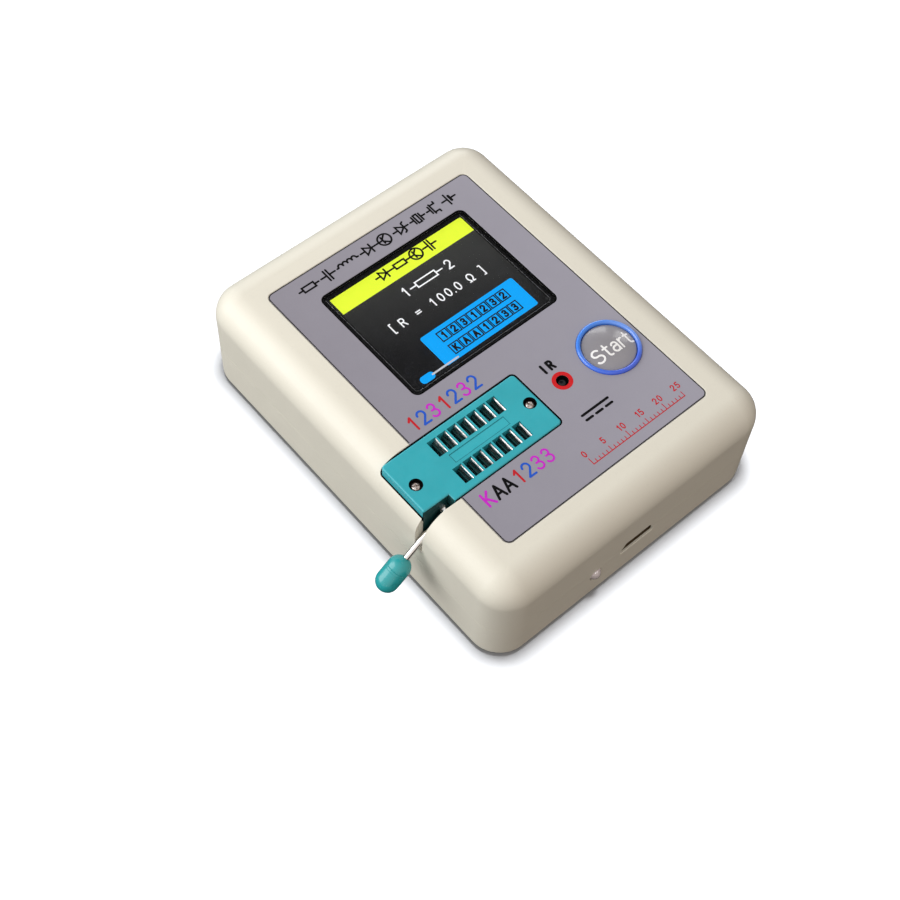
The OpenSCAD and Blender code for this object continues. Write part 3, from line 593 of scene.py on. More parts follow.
def line_shape(pts, w, z0, z1, bm, closed=False, mat=0):
    """A drawn line of width w with round ends, as a thin raised band."""
    if not closed and len(pts) > 2:
        runs = corners(pts)
        if len(runs) > 1:
            for i, run in enumerate(runs):
                line_shape(run, w, z0, z1 + 0.0012 * i, bm, False, mat)
            return
    pts = [Vector(p) for p in pts]
    h = w / 2
    n = len(pts)
    left, right = [], []
    for i, p in enumerate(pts):
        a = pts[(i - 1) % n] if (closed or i) else None
        c = pts[(i + 1) % n] if (closed or i < n - 1) else None
        d0 = (p - a).normalized() if a is not None else None
        d1 = (c - p).normalized() if c is not None else None
        if d0 is None:
            d0 = d1
        if d1 is None:
            d1 = d0
        n0 = Vector((-d0.y, d0.x))
        n1 = Vector((-d1.y, d1.x))
        m = n0 + n1
        if m.length < 0.2:
            m = n0
            k = 1.0
        else:
            m.normalize()
            k = min(1.0 / max(m.dot(n0), 0.35), 2.0)
        left.append(p + m * h * k)
        right.append(p - m * h * k)
    if not closed:
        def capped(p, d, side):
            a0 = math.atan2(side.y, side.x)
            return [p + h * Vector((math.cos(a0 - PI * j / 8), math.sin(a0 - PI * j / 8))) for j in range(1, 8)]
        d1 = (pts[-1] - pts[-2]).normalized()
        d0 = (pts[0] - pts[1]).normalized()
        end = capped(pts[-1], d1, Vector((-d1.y, d1.x)))
        start = capped(pts[0], d0, Vector((-d0.y, d0.x)))
        # strip of quads between the two sides, with a fan at each end
        L = [bm.verts.new((q.x, q.y, z1)) for q in left]
        R = [bm.verts.new((q.x, q.y, z1)) for q in right]
        E = [bm.verts.new((q.x, q.y, z1)) for q in end]
        S = [bm.verts.new((q.x, q.y, z1)) for q in start]
        top = [[L[i], R[i], R[i + 1], L[i + 1]] for i in range(n - 1)]
        top.append([R[-1], *E[::-1], L[-1]])
        top.append([L[0], *S[::-1], R[0]])
        loop = L + E + R[::-1] + S
    else:
        L = [bm.verts.new((q.x, q.y, z1)) for q in left]
        R = [bm.verts.new((q.x, q.y, z1)) for q in right]
        top = [[L[i], R[i], R[(i + 1) % n], L[(i + 1) % n]] for i in range(n)]
        loop = None
    faces = [bm.faces.new(q) for q in top]
    low = {}
    for f in faces:
        for v in f.verts:
            if v not in low:
                low[v] = bm.verts.new((v.co.x, v.co.y, z0))
    back = [bm.faces.new([low[v] for v in reversed(f.verts)]) for f in faces]
    if loop:
        side = [bm.faces.new((loop[i], low[loop[i]], low[loop[(i + 1) % len(loop)]], loop[(i + 1) % len(loop)])) for i in range(len(loop))]
    else:
        side = [bm.faces.new((L[i], low[L[i]], low[L[(i + 1) % n]], L[(i + 1) % n])) for i in range(n)]
        side += [bm.faces.new((R[(i + 1) % n], low[R[(i + 1) % n]], low[R[i]], R[i])) for i in range(n)]
    for f in faces + back + side:
        f.material_index = mat


# A plain single-line alphabet: each sign is (width, strokes) in a box one unit high
G = {
    "1": (0.34, [[(0.04, 0.76), (0.27, 1.0), (0.27, 0.0)]]),
    "2": (0.62, [arc(0.30, 0.71, 0.29, 0.29, 172, -32, 16) + [(0.02, 0.0), (0.61, 0.0)]]),
    "3": (0.60, [arc(0.28, 0.76, 0.255, 0.24, 158, -90, 14) + [(0.18, 0.52)],
                 [(0.18, 0.52)] + arc(0.28, 0.26, 0.30, 0.26, 90, -158, 16)]),
    "4": (0.62, [[(0.46, 0.0), (0.46, 1.0), (0.0, 0.30), (0.62, 0.30)]]),
    "5": (0.60, [[(0.54, 1.0), (0.12, 1.0), (0.07, 0.56)] + arc(0.29, 0.32, 0.29, 0.31, 115, -155, 16)]),
    "7": (0.58, [[(0.0, 1.0), (0.57, 1.0), (0.20, 0.0)]]),
    "0": (0.62, [("loop", arc(0.31, 0.5, 0.29, 0.5, 0, 345, 23))]),
    "A": (0.70, [[(0.0, 0.0), (0.35, 1.0), (0.70, 0.0)], [(0.12, 0.35), (0.58, 0.35)]]),
    "K": (0.62, [[(0.0, 0.0), (0.0, 1.0)], [(0.56, 1.0), (0.0, 0.40)], [(0.17, 0.58), (0.62, 0.0)]]),
    "I": (0.06, [[(0.03, 0.0), (0.03, 1.0)]]),
    "R": (0.62, [[(0.0, 0.0), (0.0, 1.0), (0.32, 1.0)] + arc(0.32, 0.75, 0.24, 0.25, 80, -90, 10) + [(0.0, 0.5)],
                 [(0.30, 0.5), (0.60, 0.0)]]),
    "S": (0.62, [arc(0.31, 0.76, 0.27, 0.24, 28, 270, 14)[:-1] + arc(0.31, 0.26, 0.30, 0.26, 90, -155, 16)]),
    "t": (0.40, [[(0.16, 0.96), (0.16, 0.20)] + arc(0.33, 0.18, 0.17, 0.17, 190, 285, 6), [(0.0, 0.70), (0.36, 0.70)]]),
    "a": (0.50, [arc(0.26, 0.50, 0.21, 0.21, 158, 0, 10) + [(0.47, 0.0)],
                 [(0.47, 0.41), (0.24, 0.41)] + arc(0.23, 0.205, 0.22, 0.205, 90, 270, 10) + [(0.34, 0.01), (0.47, 0.13)]]),
    "r": (0.32, [[(0.0, 0.71), (0.0, 0.0)], [(0.0, 0.42)] + arc(0.24, 0.44, 0.24, 0.26, 170, 80, 6)]),
    "V": (0.66, [[(0.0, 1.0), (0.33, 0.0), (0.66, 1.0)]]),
    "k": (0.46, [[(0.0, 0.0), (0.0, 1.0)], [(0.42, 0.70), (0.0, 0.28)], [(0.14, 0.42), (0.46, 0.0)]]),
    "O": (0.80, [[(0.04, 0.0), (0.28, 0.0), (0.28, 0.10)] + arc(0.40, 0.56, 0.36, 0.43, 238, -58, 20) + [(0.52, 0.10), (0.52, 0.0), (0.76, 0.0)]]),
    ".": (0.06, [[(0.03, 0.0), (0.03, 0.02)]]),
    "=": (0.56, [[(0.0, 0.36), (0.56, 0.36)], [(0.0, 0.62), (0.56, 0.62)]]),
    "[": (0.20, [[(0.20, 1.14), (0.0, 1.14), (0.0, -0.16), (0.20, -0.16)]]),
    "]": (0.20, [[(0.0, 1.14), (0.20, 1.14), (0.20, -0.16), (0.0, -0.16)]]),
    "+": (0.60, [[(0.0, 0.5), (0.60, 0.5)], [(0.30, 0.2), (0.30, 0.8)]]),
    "-": (0.50, [[(0.0, 0.5), (0.50, 0.5)]]),
    " ": (0.34, []),
}


def sign(bm, ch, x, y, h, w, z0, z1, mat=0, squeeze=1.0, centre=True, fine=None):
    """One sign of height h, its middle (or left edge) at x, standing on y, drawn with a line of width w."""
    width, strokes = G[ch]
    hh = h - w
    x0 = x - width * hh * squeeze / 2 if centre else x + w / 2
    for i, s in enumerate(strokes):
        loop = s[0] == "loop"
        pts = [(x0 + px * hh * squeeze, y + w / 2 + py * hh) for px, py in (s[1] if loop else s)]
        if fine:
            pts = dense(pts, fine)
        line_shape(pts, w, z0, z1 + 0.003 * i, bm, closed=loop, mat=mat)
    return width * hh * squeeze + w


def word(bm, text, x, y, h, w, z0, z1, mat=0, squeeze=1.0, gap=0.16):
    """A row of signs, its middle at x."""
    hh = h - w
    total = sum(G[c][0] * hh * squeeze + w for c in text) + gap * h * (len(text) - 1)
    at = x - total / 2
    for c in text:
        at += sign(bm, c, at, y, h, w, z0, z1, mat, squeeze, False) + gap * h
    return total

# ------------------------------------------------------------------ CAD nodes that keep their shape

SLOT_MAT = {
    "case_plastic": MAT["case"], "label_film": MAT["label"], "window_clear": MAT["window"], "lcd_dark": MAT["lcd"],
    "white_plastic": MAT["white"], "board_blue": MAT["pcb_blue"], "board_green": MAT["pcb_green"],
    "brass_nickel": MAT["brass"], "screw_steel": MAT["steel"], "black_plastic": MAT["black"], "gold_pins": MAT["gold"],
    "socket_teal": MAT["teal"], "socket_teal_dark": MAT["teal_dark"], "slider_plastic": MAT["nylon"],
    "contact_metal": MAT["contact"], "lever_steel": MAT["rod"], "knob_teal": MAT["knob"], "ring_blue": MAT["ring"],
    "cap_grey": MAT["cap"], "ir_black": MAT["ir"], "usb_metal": MAT["tin"], "led_clear": MAT["led"],
    "pouch_foil": MAT["foil"], "tape_white": MAT["tape"], "lead_red": MAT["lead_red"], "lead_black": MAT["lead_black"],
    "chip_black": MAT["chip"], "chip_tan": MAT["tan"],
}
slot_of = {s["node"]: s["material_slot"] for s in frame["record"]["subparts"]}
for n, o in nodes.items():
    o.data.materials.clear()
    o.data.materials.append(SLOT_MAT[slot_of[n]])

# small parts of the inside: the same shapes with their edges rounded
for n, r in (("lcd_backlight", 0.12), ("lcd_board", 0.06), ("lcd_header_socket", 0.08), ("lcd_header", 0.06),
             ("lcd_pins", 0.06), ("main_board", 0.06), ("microcontroller", 0.10), ("microcontroller_pins", 0.03),
             ("crystal", 0.35), ("power_inductor", 0.3), ("charger_chip", 0.06), ("chip_parts", 0.08),
             ("switch_body", 0.25), ("switch_plate", 0.05), ("usb_tongue", 0.06), ("led_legs", 0.05),
             ("ir_legs", 0.05), ("battery", 0.45), ("battery_tape", 0.1), ("battery_plug", 0.2),
             ("battery_socket", 0.2), ("lcd_standoffs", 0.1)):
    from_cad(n, SLOT_MAT[slot_of[n]], rest=(r, 2))
from_cad("switch_plunger", SLOT_MAT[slot_of["switch_plunger"]], "button", rest=(0.15, 2))
from_cad("socket_slider", MAT["nylon"], "slider", rest=(0.06, 2))

# ------------------------------------------------------------------ case

W, L, H = 72.8, 93.8, 26.5
SPLIT = 11.2


def top_rim(e):
    return all(v.co.z > H - 0.01 for v in e.verts) and edge_angle(e) > 0.5


def at_joint(e):
    return all(SPLIT - 0.3 < v.co.z < SPLIT + 0.05 for v in e.verts)


def slit_rim(e):
    return all(v.co.y < -46.8 for v in e.verts) and edge_angle(e) > 0.5 and all(v.co.z > 7.0 for v in e.verts) and not at_joint(e)


def shallow_groove(bm):
    """The fine line between the halves, drawn in to a hair."""
    for v in bm.verts:
        x, y, z = v.co
        if z > SPLIT - 0.27 and z < SPLIT + 0.01:
            # distance inside the outline
            ax, ay = abs(x), abs(y)
            cx, cy = W / 2 - 7.0, L / 2 - 7.0
            if ax > cx and ay > cy:
                d = 7.0 - math.hypot(ax - cx, ay - cy)
            else:
                d = min(W / 2 - ax, L / 2 - ay)
            if 0.15 < d < 0.35:
                k = d - 0.09
                if ax > cx and ay > cy:
                    h = math.hypot(ax - cx, ay - cy)
                    v.co.x += math.copysign(k * (ax - cx) / h, x)
                    v.co.y += math.copysign(k * (ay - cy) / h, y)
                elif W / 2 - ax < L / 2 - ay:
                    v.co.x += math.copysign(k, x)
                else:
                    v.co.y += math.copysign(k, y)
            if z < SPLIT - 0.2 and d < 0.35:
                v.co.z = SPLIT - 0.07


def slit_painted_shade(bm):
    """Painted shade: the inside of the slit, behind the front of the wall, gets a dark brown copy of the case plastic.
    """
    box_of = [f for f in bm.faces if -46.95 < f.calc_center_median().y < -44.8 and abs(f.calc_center_median().x - 0.6) < 4.6
              and 9.0 < f.calc_center_median().z < 12.4 and abs(f.normal.y) < 0.3]
    geom = list({e for f in box_of for e in f.edges}) + box_of + list({v for f in box_of for v in f.verts})
    bmesh.ops.bisect_plane(bm, geom=geom, dist=0.001, plane_co=(0, -46.42, 0), plane_no=(0, 1, 0))
    for f in bm.faces:
        c = f.calc_center_median()
        if -46.41 < c.y < -44.8 and abs(c.x - 0.6) < 4.6 and 9.0 < c.z < 12.4:
            f.material_index = 1


CASE = [MAT["case"], MAT["case_deep"]]
from_cad("top_shell", CASE, merge=0.03, groups=((top_rim, 0.22, 3), (slit_rim, 0.12, 3)), rest=(0.08, 2), clamp=False,
         keep=at_joint, after=slit_painted_shade)
from_cad("bottom_shell", CASE, merge=0.03, groups=((slit_rim, 0.12, 3),), rest=(0.06, 2), clamp=False,
         change=shallow_groove, keep=at_joint, after=slit_painted_shade)

# ------------------------------------------------------------------ screws


def pan_screw(head_r, head_h, shank_r, length, step=0.45):
    """Cross-recess pan-head screw, seat of the head at Z 0, head up."""
    bm = bmesh.new()
    rim = head_h * 0.42
    prof = [(0, head_h)]
    prof += [(head_r * 0.86 * math.sin(PI / 2 * i / 8), rim + (head_h - rim) * math.cos(PI / 2 * i / 8) ** 0.9) for i in range(1, 7)]
    prof += [(head_r * 0.93, rim + head_h * 0.10), (head_r, rim - head_h * 0.08), (head_r, 0.06), (head_r - 0.06, 0.0), (shank_r, 0.0)]
    z = -0.3
    while z > -length + 0.8:
        prof += [(shank_r * 0.78, z), (shank_r, z - step * 0.35), (shank_r, z - step * 0.45), (shank_r * 0.78, z - step * 0.8)]
        z -= step
    prof += [(shank_r * 0.7, -length + 0.5), (shank_r * 0.2, -length), (0, -length)]
    lathe(bm, prof[::-1], 48)
    bmesh.ops.recalc_face_normals(bm, faces=bm.faces)
    cuts = []
    for a in (0, 90):
        c = bmesh.new()
        k = head_r * 0.62
        w = head_r * 0.135
        d = head_h * 0.62
        secs = []
        for z, f in ((head_h + 0.3, 1.05), (head_h - d * 0.45, 0.93), (head_h - d, 0.5)):
            q = w * (1.0 if f > 0.6 else 0.8)
            secs.append([(-k * f, -q, z), (k * f, -q, z), (k * f, q, z), (-k * f, q, z)])
        loft(c, secs)
        bmesh.ops.recalc_face_normals(c, faces=c.faces)
        c.transform(Matrix.Rotation(math.radians(a), 4, "Z"))
        cuts.append(c)
    c = bmesh.new()
    lathe(c, [(0, head_h - head_h * 0.7), (head_r * 0.12, head_h - head_h * 0.62), (head_r * 0.24, head_h + 0.3), (0, head_h + 0.3)], 24)
    bmesh.ops.recalc_face_normals(c, faces=c.faces)
    cuts.append(c)
    return solve(bm, cuts)


def copies(make, places):
    """One bmesh from copies of another, each at a matrix."""
    src = make
    me = bpy.data.meshes.new("tmp")
    src.to_mesh(me)
    src.free()
    out = bmesh.new()
    for m in places:
        me2 = me.copy()
        me2.transform(m)
        out.from_mesh(me2)
        bpy.data.meshes.remove(me2)
    bpy.data.meshes.remove(me)
    return out


def at(x, y, z, turn=0.0, flip=False):
    m = Matrix.Translation((x, y, z))
    if flip:
        m = m @ Matrix.Rotation(PI, 4, "X")
    return m @ Matrix.Rotation(math.radians(turn), 4, "Z")


SY = -16.3
piece(copies(pan_screw(1.25, 1.1, 0.7, 6.5), [at(-31.72, SY, 25.0, 68), at(-2.34, SY, 25.0, 22)]),
      "socket_screws_shape", "case", MAT["steel"], ("socket_screws",), 30, recalc=False)
# black lining of the socket screws' holes: painted shade round the heads
bm = bmesh.new()
for x in (-31.72, -2.34):
    lathe(bm, [(1.29, 25.02), (1.392, 25.02), (1.392, 26.43), (1.33, 26.43), (1.29, 26.30)], 48, True, at=Matrix.Translation((x, SY, 0)))
piece(bm, "socket_screw_hole_shade", "case", MAT["gap"])
piece(copies(pan_screw(2.4, 1.6, 1.1, 12.6, 0.8), [at(sx * 30, sy * 40.5, 2.4, 15 + 37 * i, True)
      for i, (sx, sy) in enumerate(((-1, -1), (1, -1), (1, 1), (-1, 1)))]),
      "case_screws_shape", "case", MAT["steel"], ("case_screws",), 30, recalc=False)
piece(copies(pan_screw(1.7, 1.2, 0.95, 4.5), [at(x, y, 21.6, 20 + 3 * x) for x, y in ((-26.6, 0.5), (-26.6, 29.5), (24.5, 0.5), (24.5, 29.5))]),
      "lcd_screws_shape", "case", MAT["steel"], ("lcd_screws",), 30, recalc=False)
piece(copies(pan_screw(1.7, 1.2, 0.8, 6.6), [at(x, y, 12.0, 20 + 3 * y, True) for x, y in ((-31.4, 24), (31.4, 24), (-31.4, -30), (31.4, -30))]),
      "board_screws_shape", "case", MAT["steel"], ("board_screws",), 30, recalc=False)

# ------------------------------------------------------------------ label

LABEL_TOP = 26.45
INK0, INK1 = 26.43, 26.466
from_cad("face_label", MAT["label"], rest=(0.05, 1))


# fine dark line along the edge of the label, open at the socket
inset = 0.10
lx, ly, lc = 26.8 - inset, 37.1 - inset, -0.04
r0 = 1.4 - inset
path = [(-lx, -8.25)]
path += [(-lx, lc + ly - r0)] + [(x - lx + r0, y + lc + ly - r0) for x, y in arc(0, 0, r0, r0, 180, 90, 10)]
path += [(x + lx - r0, y + lc + ly - r0) for x, y in arc(0, 0, r0, r0, 90, 0, 10)]
path += [(x + lx - r0, y + lc - ly + r0) for x, y in arc(0, 0, r0, r0, 0, -90, 10)]
path += [(x - lx + r0, y + lc - ly + r0) for x, y in arc(0, 0, r0, r0, -90, -180, 10)]
path += [(-lx, -24.1)]
bm = bmesh.new()
line_shape(path, 0.18, INK0, INK1, bm)
piece(bm, "label_edge_line", "case", MAT["ink_line"], weighted=False)

SLOTS = [-15.45 + 2.54 * (i - 3) for i in range(7)]
inks = {k: bmesh.new() for k in ("black", "red", "blue", "magenta", "ring")}
up = {"1": "red", "2": "blue", "3": "magenta", "K": "magenta", "A": "black"}
for i, c in enumerate("1231232"):
    sign(inks[up[c]], c, -23.40 + 2.625 * i, -7.28, 3.6, 0.47, INK0, INK1, squeeze=0.89)
for i, c in enumerate("KAA1233"):
    sign(inks[up[c]], c, -23.08 + 2.548 * i, -29.10, 3.5, 0.53 if c in "KA" else 0.45, INK0, INK1, squeeze=0.89)
word(inks["black"], "IR", 6.27, -13.40, 2.54, 0.58, INK0, INK1, squeeze=0.82, gap=0.32)

# red ring round the sight hole
bm = inks["ring"]
lathe(bm, [(1.32, INK0), (2.18, INK0), (2.18, INK1), (1.32, INK1)], 72, True, at=Matrix.Translation((6.3, -16.45, 0)))

# row of circuit symbols along the top of the label


def symbols(bm, x0, x1, yc, h, w, z0, z1, kinds):
    """A row of plain circuit symbols between two x, h high."""
    widths = {"res": 1.45, "cap": 1.05, "coil": 1.6, "diode": 1.15, "npn": 1.05, "cell": 1.05, "fet": 1.05,
              "zener": 1.15, "bulb": 1.1, "xtal": 1.15, "scr": 1.15}
    u = h
    total = sum(widths[k] for k in kinds) * u
    gap = (x1 - x0 - total) / max(1, len(kinds) - 1)
    x = x0
    for k in kinds:
        wd = widths[k] * u
        c = x + wd / 2
        a, b = x, x + wd
        n = [0]

        def ln(pts, closed=False, ww=w):
            line_shape(pts, ww, z0, z1 + 0.002 * n[0], bm, closed)
            n[0] += 1
        if k == "res":
            ln([(c - 0.42 * u, yc - 0.19 * u), (c + 0.42 * u, yc - 0.19 * u), (c + 0.42 * u, yc + 0.19 * u), (c - 0.42 * u, yc + 0.19 * u)], True)
            ln([(a, yc), (c - 0.42 * u, yc)])
            ln([(c + 0.42 * u, yc), (b, yc)])
        elif k == "cap":
            ln([(c - 0.10 * u, yc - 0.42 * u), (c - 0.10 * u, yc + 0.42 * u)])
            ln([(c + 0.10 * u, yc - 0.42 * u), (c + 0.10 * u, yc + 0.42 * u)])
            ln([(a, yc), (c - 0.10 * u, yc)])
            ln([(c + 0.10 * u, yc), (b, yc)])
        elif k == "coil":
            r = 0.17 * u
            pts = [(a, yc)]
            for i in range(4):
                m = c - 3 * r + 2 * r * i
                pts += arc(m, yc, r, 1.25 * r, 180, 0, 8)[0 if i == 0 else 1:]
            pts += [(b, yc)]
            ln(pts)
        elif k in ("diode", "zener", "scr"):
            ln([(c - 0.22 * u, yc + 0.32 * u), (c - 0.22 * u, yc - 0.32 * u), (c + 0.24 * u, yc)], True)
            if k == "zener":
                ln([(c + 0.12 * u, yc - 0.40 * u), (c + 0.26 * u, yc - 0.32 * u), (c + 0.26 * u, yc + 0.32 * u), (c + 0.40 * u, yc + 0.40 * u)])
            else:
                ln([(c + 0.26 * u, yc - 0.34 * u), (c + 0.26 * u, yc + 0.34 * u)])
            if k == "scr":
                ln([(c + 0.27 * u, yc), (c + 0.45 * u, yc - 0.36 * u)])
            ln([(a, yc), (c - 0.22 * u, yc)])
            ln([(c + 0.24 * u, yc), (b, yc)])
        elif k == "npn":
            ln(arc(c, yc, 0.5 * u - w / 2, 0.5 * u - w / 2, 0, 350, 35), True)
            ln([(c - 0.12 * u, yc - 0.26 * u), (c - 0.12 * u, yc + 0.26 * u)])
            ln([(a - 0.1 * u, yc), (c - 0.12 * u, yc)])
            ln([(c - 0.12 * u, yc + 0.08 * u), (c + 0.20 * u, yc + 0.36 * u)])
            ln([(c - 0.12 * u, yc - 0.08 * u), (c + 0.20 * u, yc - 0.36 * u)])
        elif k == "fet":
            ln([(c - 0.24 * u, yc - 0.30 * u), (c - 0.24 * u, yc + 0.30 * u)])
            ln([(c - 0.08 * u, yc - 0.40 * u), (c - 0.08 * u, yc + 0.40 * u)])
            ln([(c - 0.08 * u, yc + 0.30 * u), (c + 0.28 * u, yc + 0.30 * u), (c + 0.28 * u, yc + 0.46 * u)])
            ln([(c - 0.08 * u, yc - 0.30 * u), (c + 0.28 * u, yc - 0.30 * u), (c + 0.28 * u, yc - 0.46 * u)])
            ln([(a, yc), (c - 0.24 * u, yc)])
        elif k == "cell":
            ln([(c - 0.10 * u, yc - 0.44 * u), (c - 0.10 * u, yc + 0.44 * u)])
            ln([(c + 0.12 * u, yc - 0.20 * u), (c + 0.12 * u, yc + 0.20 * u)], False, w * 1.5)
            ln([(a, yc), (c - 0.10 * u, yc)])
            ln([(c + 0.12 * u, yc), (b, yc)])
        elif k == "bulb":
            r = 0.42 * u
            q = r * 0.7071
            ln(arc(c, yc, r, r, 0, 350, 31), True)
            ln([(c - q, yc - q), (c + q, yc + q)])
            ln([(c - q, yc + q), (c + q, yc - q)])
        elif k == "xtal":
            ln([(c - 0.12 * u, yc - 0.34 * u), (c + 0.12 * u, yc - 0.34 * u), (c + 0.12 * u, yc + 0.34 * u), (c - 0.12 * u, yc + 0.34 * u)], True)
            ln([(c - 0.28 * u, yc - 0.30 * u), (c - 0.28 * u, yc + 0.30 * u)])
            ln([(c + 0.28 * u, yc - 0.30 * u), (c + 0.28 * u, yc + 0.30 * u)])
            ln([(a, yc), (c - 0.28 * u, yc)])
            ln([(c + 0.28 * u, yc), (b, yc)])
        x += wd + gap


symbols(inks["black"], -20.95, 21.15, 33.55, 3.45, 0.42, INK0, INK1,
        ("res", "cap", "coil", "diode", "npn", "zener", "xtal", "fet", "cell"))

# direct-current mark beside the button
line_shape([(3.6, -25.05), (10.5, -25.05)], 0.55, INK0, INK1, inks["black"])
for i in range(3):
    line_shape([(3.6 + 2.64 * i, -26.37), (5.22 + 2.64 * i, -26.37)], 0.55, INK0, INK1, inks["black"])

# millimetre scale for component leads
x0, y0 = -2.2, -34.55
line_shape([(x0, y0), (x0 + 25, y0)], 0.20, INK0, INK1, inks["red"])
for i in range(26):
    h = 1.55 if i % 10 == 0 else 1.2 if i % 5 == 0 else 0.75
    line_shape([(x0 + i, y0 + 0.05), (x0 + i, y0 + h)], 0.17, INK0, INK1 + 0.003, inks["red"])
for i, s in ((0, "0"), (5, "5"), (10, "10"), (15, "15"), (20, "20"), (25, "25")):
    word(inks["red"], s, x0 + i, y0 + 2.05, 1.55, 0.24, INK0, INK1, squeeze=0.85, gap=0.16)

for k, n, s in (("black", "print_black", "label_film"), ("red", "print_red", "label_film"), ("blue", "print_blue", "label_film"),
                ("magenta", "print_magenta", "label_film"), ("ring", "print_ring", "label_film")):
    piece(inks[k], n, "case", MAT["ink_" + k], sharp=20, weighted=False)

# ------------------------------------------------------------------ screen

bm = bmesh.new()
WX, WY, WW, WL = 0.5, 14.4, 38.5, 31.0
slab(bm, WW, WL, 1.5, 25.425, 26.45, 0.14, 0.03, WX, WY, 10, 4)
bmesh.ops.recalc_face_normals(bm, faces=bm.faces)
for f in bm.faces:
    if abs(f.normal.z) < 0.995:
        f.material_index = 1
piece(bm, "screen_window_shape", "case", [MAT["window"], MAT["gap"]], ("screen_window",))


def frame_ring(bm, o, i, z0, z1, mat=0):
    """Flat frame between two outlines with the same number of points."""
    lo = [[bm.verts.new((x, y, z)) for x, y in q] for q, z in ((o, z0), (i, z0), (i, z1), (o, z1))]
    n = len(o)
    for a, b in zip(lo, lo[1:] + lo[:1]):
        for j in range(n):
            f = bm.faces.new((a[j], a[(j + 1) % n], b[(j + 1) % n], b[j]))
            f.material_index = mat


bm = bmesh.new()
frame_ring(bm, rr(WW - 0.08, WL - 0.08, 1.46, 10, WX, WY), rr(WW - 2.8, WL - 2.75, 0.25, 10, WX, WY), 25.401, 25.414)
piece(bm, "screen_border", "case", MAT["border"], ("screen_window",), weighted=False)
bm = bmesh.new()
line_shape([(WX + (x - 0.3) * 1.0237, WY + (y - 14.55) * 1.0164) for x, y in
            ((-17.45, 29.0), (-17.45, 0.9), (-16.9, 0.35), (17.5, 0.35), (18.05, 0.9), (18.05, 29.0))], 0.14, 25.406, 25.418, bm)
piece(bm, "screen_border_line", "case", MAT["border_line"], weighted=False)
# black strip in the gap round the window: painted shade of the gap
bm = bmesh.new()
frame_ring(bm, rr(WW + 0.17, WL + 0.17, 1.585, 10, WX, WY), rr(WW + 0.07, WL + 0.07, 1.535, 10, WX, WY), 25.43, 26.41)
piece(bm, "screen_gap_shade", "case", MAT["gap"], weighted=False)

# the panel
bm = bmesh.new()
box(bm, (-24.5, -2.1, 23.0), (22.2, 31.9, 24.4), 0, 0.08, 2)
piece(bm, "lcd_glass_shape", "case", MAT["lcd"], ("lcd_glass",))

DX, DY = 0.60, 0.59
Z0, Z1 = 24.392, 24.412
Y0, Y1 = 24.405, 24.424


def plate(bm, x0, y0, x1, y1, r, z0, z1):
    loft(bm, [[(x + DX, y + DY, z) for x, y in rr(x1 - x0, y1 - y0, r, 6, (x0 + x1) / 2, (y0 + y1) / 2)] for z in (z0, z1)])


class Shift:
    """Draws marks on the panel, moved to the panel's own place."""

    def __init__(self, bm):
        self.bm = bm

    def __enter__(self):
        self.count = set(self.bm.verts)
        return self.bm

    def __exit__(self, *x):
        for v in self.bm.verts:
            if v not in self.count:
                v.co.x += DX
                v.co.y += DY


bar = bmesh.new()
plate(bar, -17.15, 23.75, 17.9, 29.25, 0.05, Z0, Z1)


def settle(bm):
    for v in bm.verts:
        v.co.x = v.co.x * 1.0165 + 0.23
        v.co.y = v.co.y * 1.028 - 0.42
    return bm


piece(settle(bar), "picture_bar", "case", MAT["lit_yellow"], weighted=False)
blue = bmesh.new()
plate(blue, -9.2, 1.3, 15.45, 9.7, 0.55, Z0, Z1)
plate(blue, -15.6, 0.72, -12.25, 2.52, 0.8, Z0, Z1)
piece(settle(blue), "picture_socket", "case", MAT["lit_blue"], weighted=False)
grey = bmesh.new()
with Shift(grey) as g:
    line_shape([(-12.6, 1.64), (-6.0, 1.64)], 0.42, Z0, Z1 + 0.004, g)
piece(settle(grey), "picture_lever", "case", MAT["lit_grey"], weighted=False)
white = bmesh.new()
with Shift(white) as g:
    sign(g, "1", -3.9, 19.0, 2.55, 0.34, Z0, Z1, squeeze=0.9)
    line_shape([(-0.9, 19.55), (4.3, 19.55), (4.3, 21.0), (-0.9, 21.0)], 0.32, Z0, Z1, g, True)
    line_shape([(-2.5, 20.27), (-0.9, 20.27)], 0.32, Z0, Z1 + 0.002, g)
    line_shape([(4.3, 20.27), (5.9, 20.27)], 0.32, Z0, Z1 + 0.002, g)
    sign(g, "2", 7.7, 19.0, 2.55, 0.34, Z0, Z1, squeeze=0.9)
    y = 13.75
    for c, x in zip("[R=100.0O]", (-11.7, -9.1, -5.0, -1.2, 0.95, 2.95, 4.25, 5.55, 8.85, 12.1)):
        sign(g, c, x, y, 2.25, 0.31, Z0, Z1, squeeze=0.92)
piece(settle(white), "picture_text", "case", MAT["lit_white"], weighted=False, sharp=20)
off = bmesh.new()
with Shift(off) as g:
    cell = 18.35 / 7
    for row, y0, text in ((0, 6.15, "1231232"), (1, 2.45, "KAA1233")):
        for i, c in enumerate(text):
            xc = -6 + cell * (i + 0.5)
            line_shape([(xc - 1.13, y0 + 0.02), (xc + 1.13, y0 + 0.02), (xc + 1.13, y0 + 2.42), (xc - 1.13, y0 + 2.42)],
                       0.27, Y0, Y1, g, True)
            sign(g, c, xc, y0 + 0.27, 1.92, 0.42, Y0, Y1, squeeze=0.86)
    symbols(g, -6.4, 9.6, 26.5, 3.3, 0.42, Y0, Y1, ("diode", "res", "npn", "cap"))
piece(settle(off), "picture_dark_marks", "case", MAT["lit_off"], weighted=False, sharp=20)

# ------------------------------------------------------------------ socket

ROWS = (SY - 3.81, SY + 3.81)


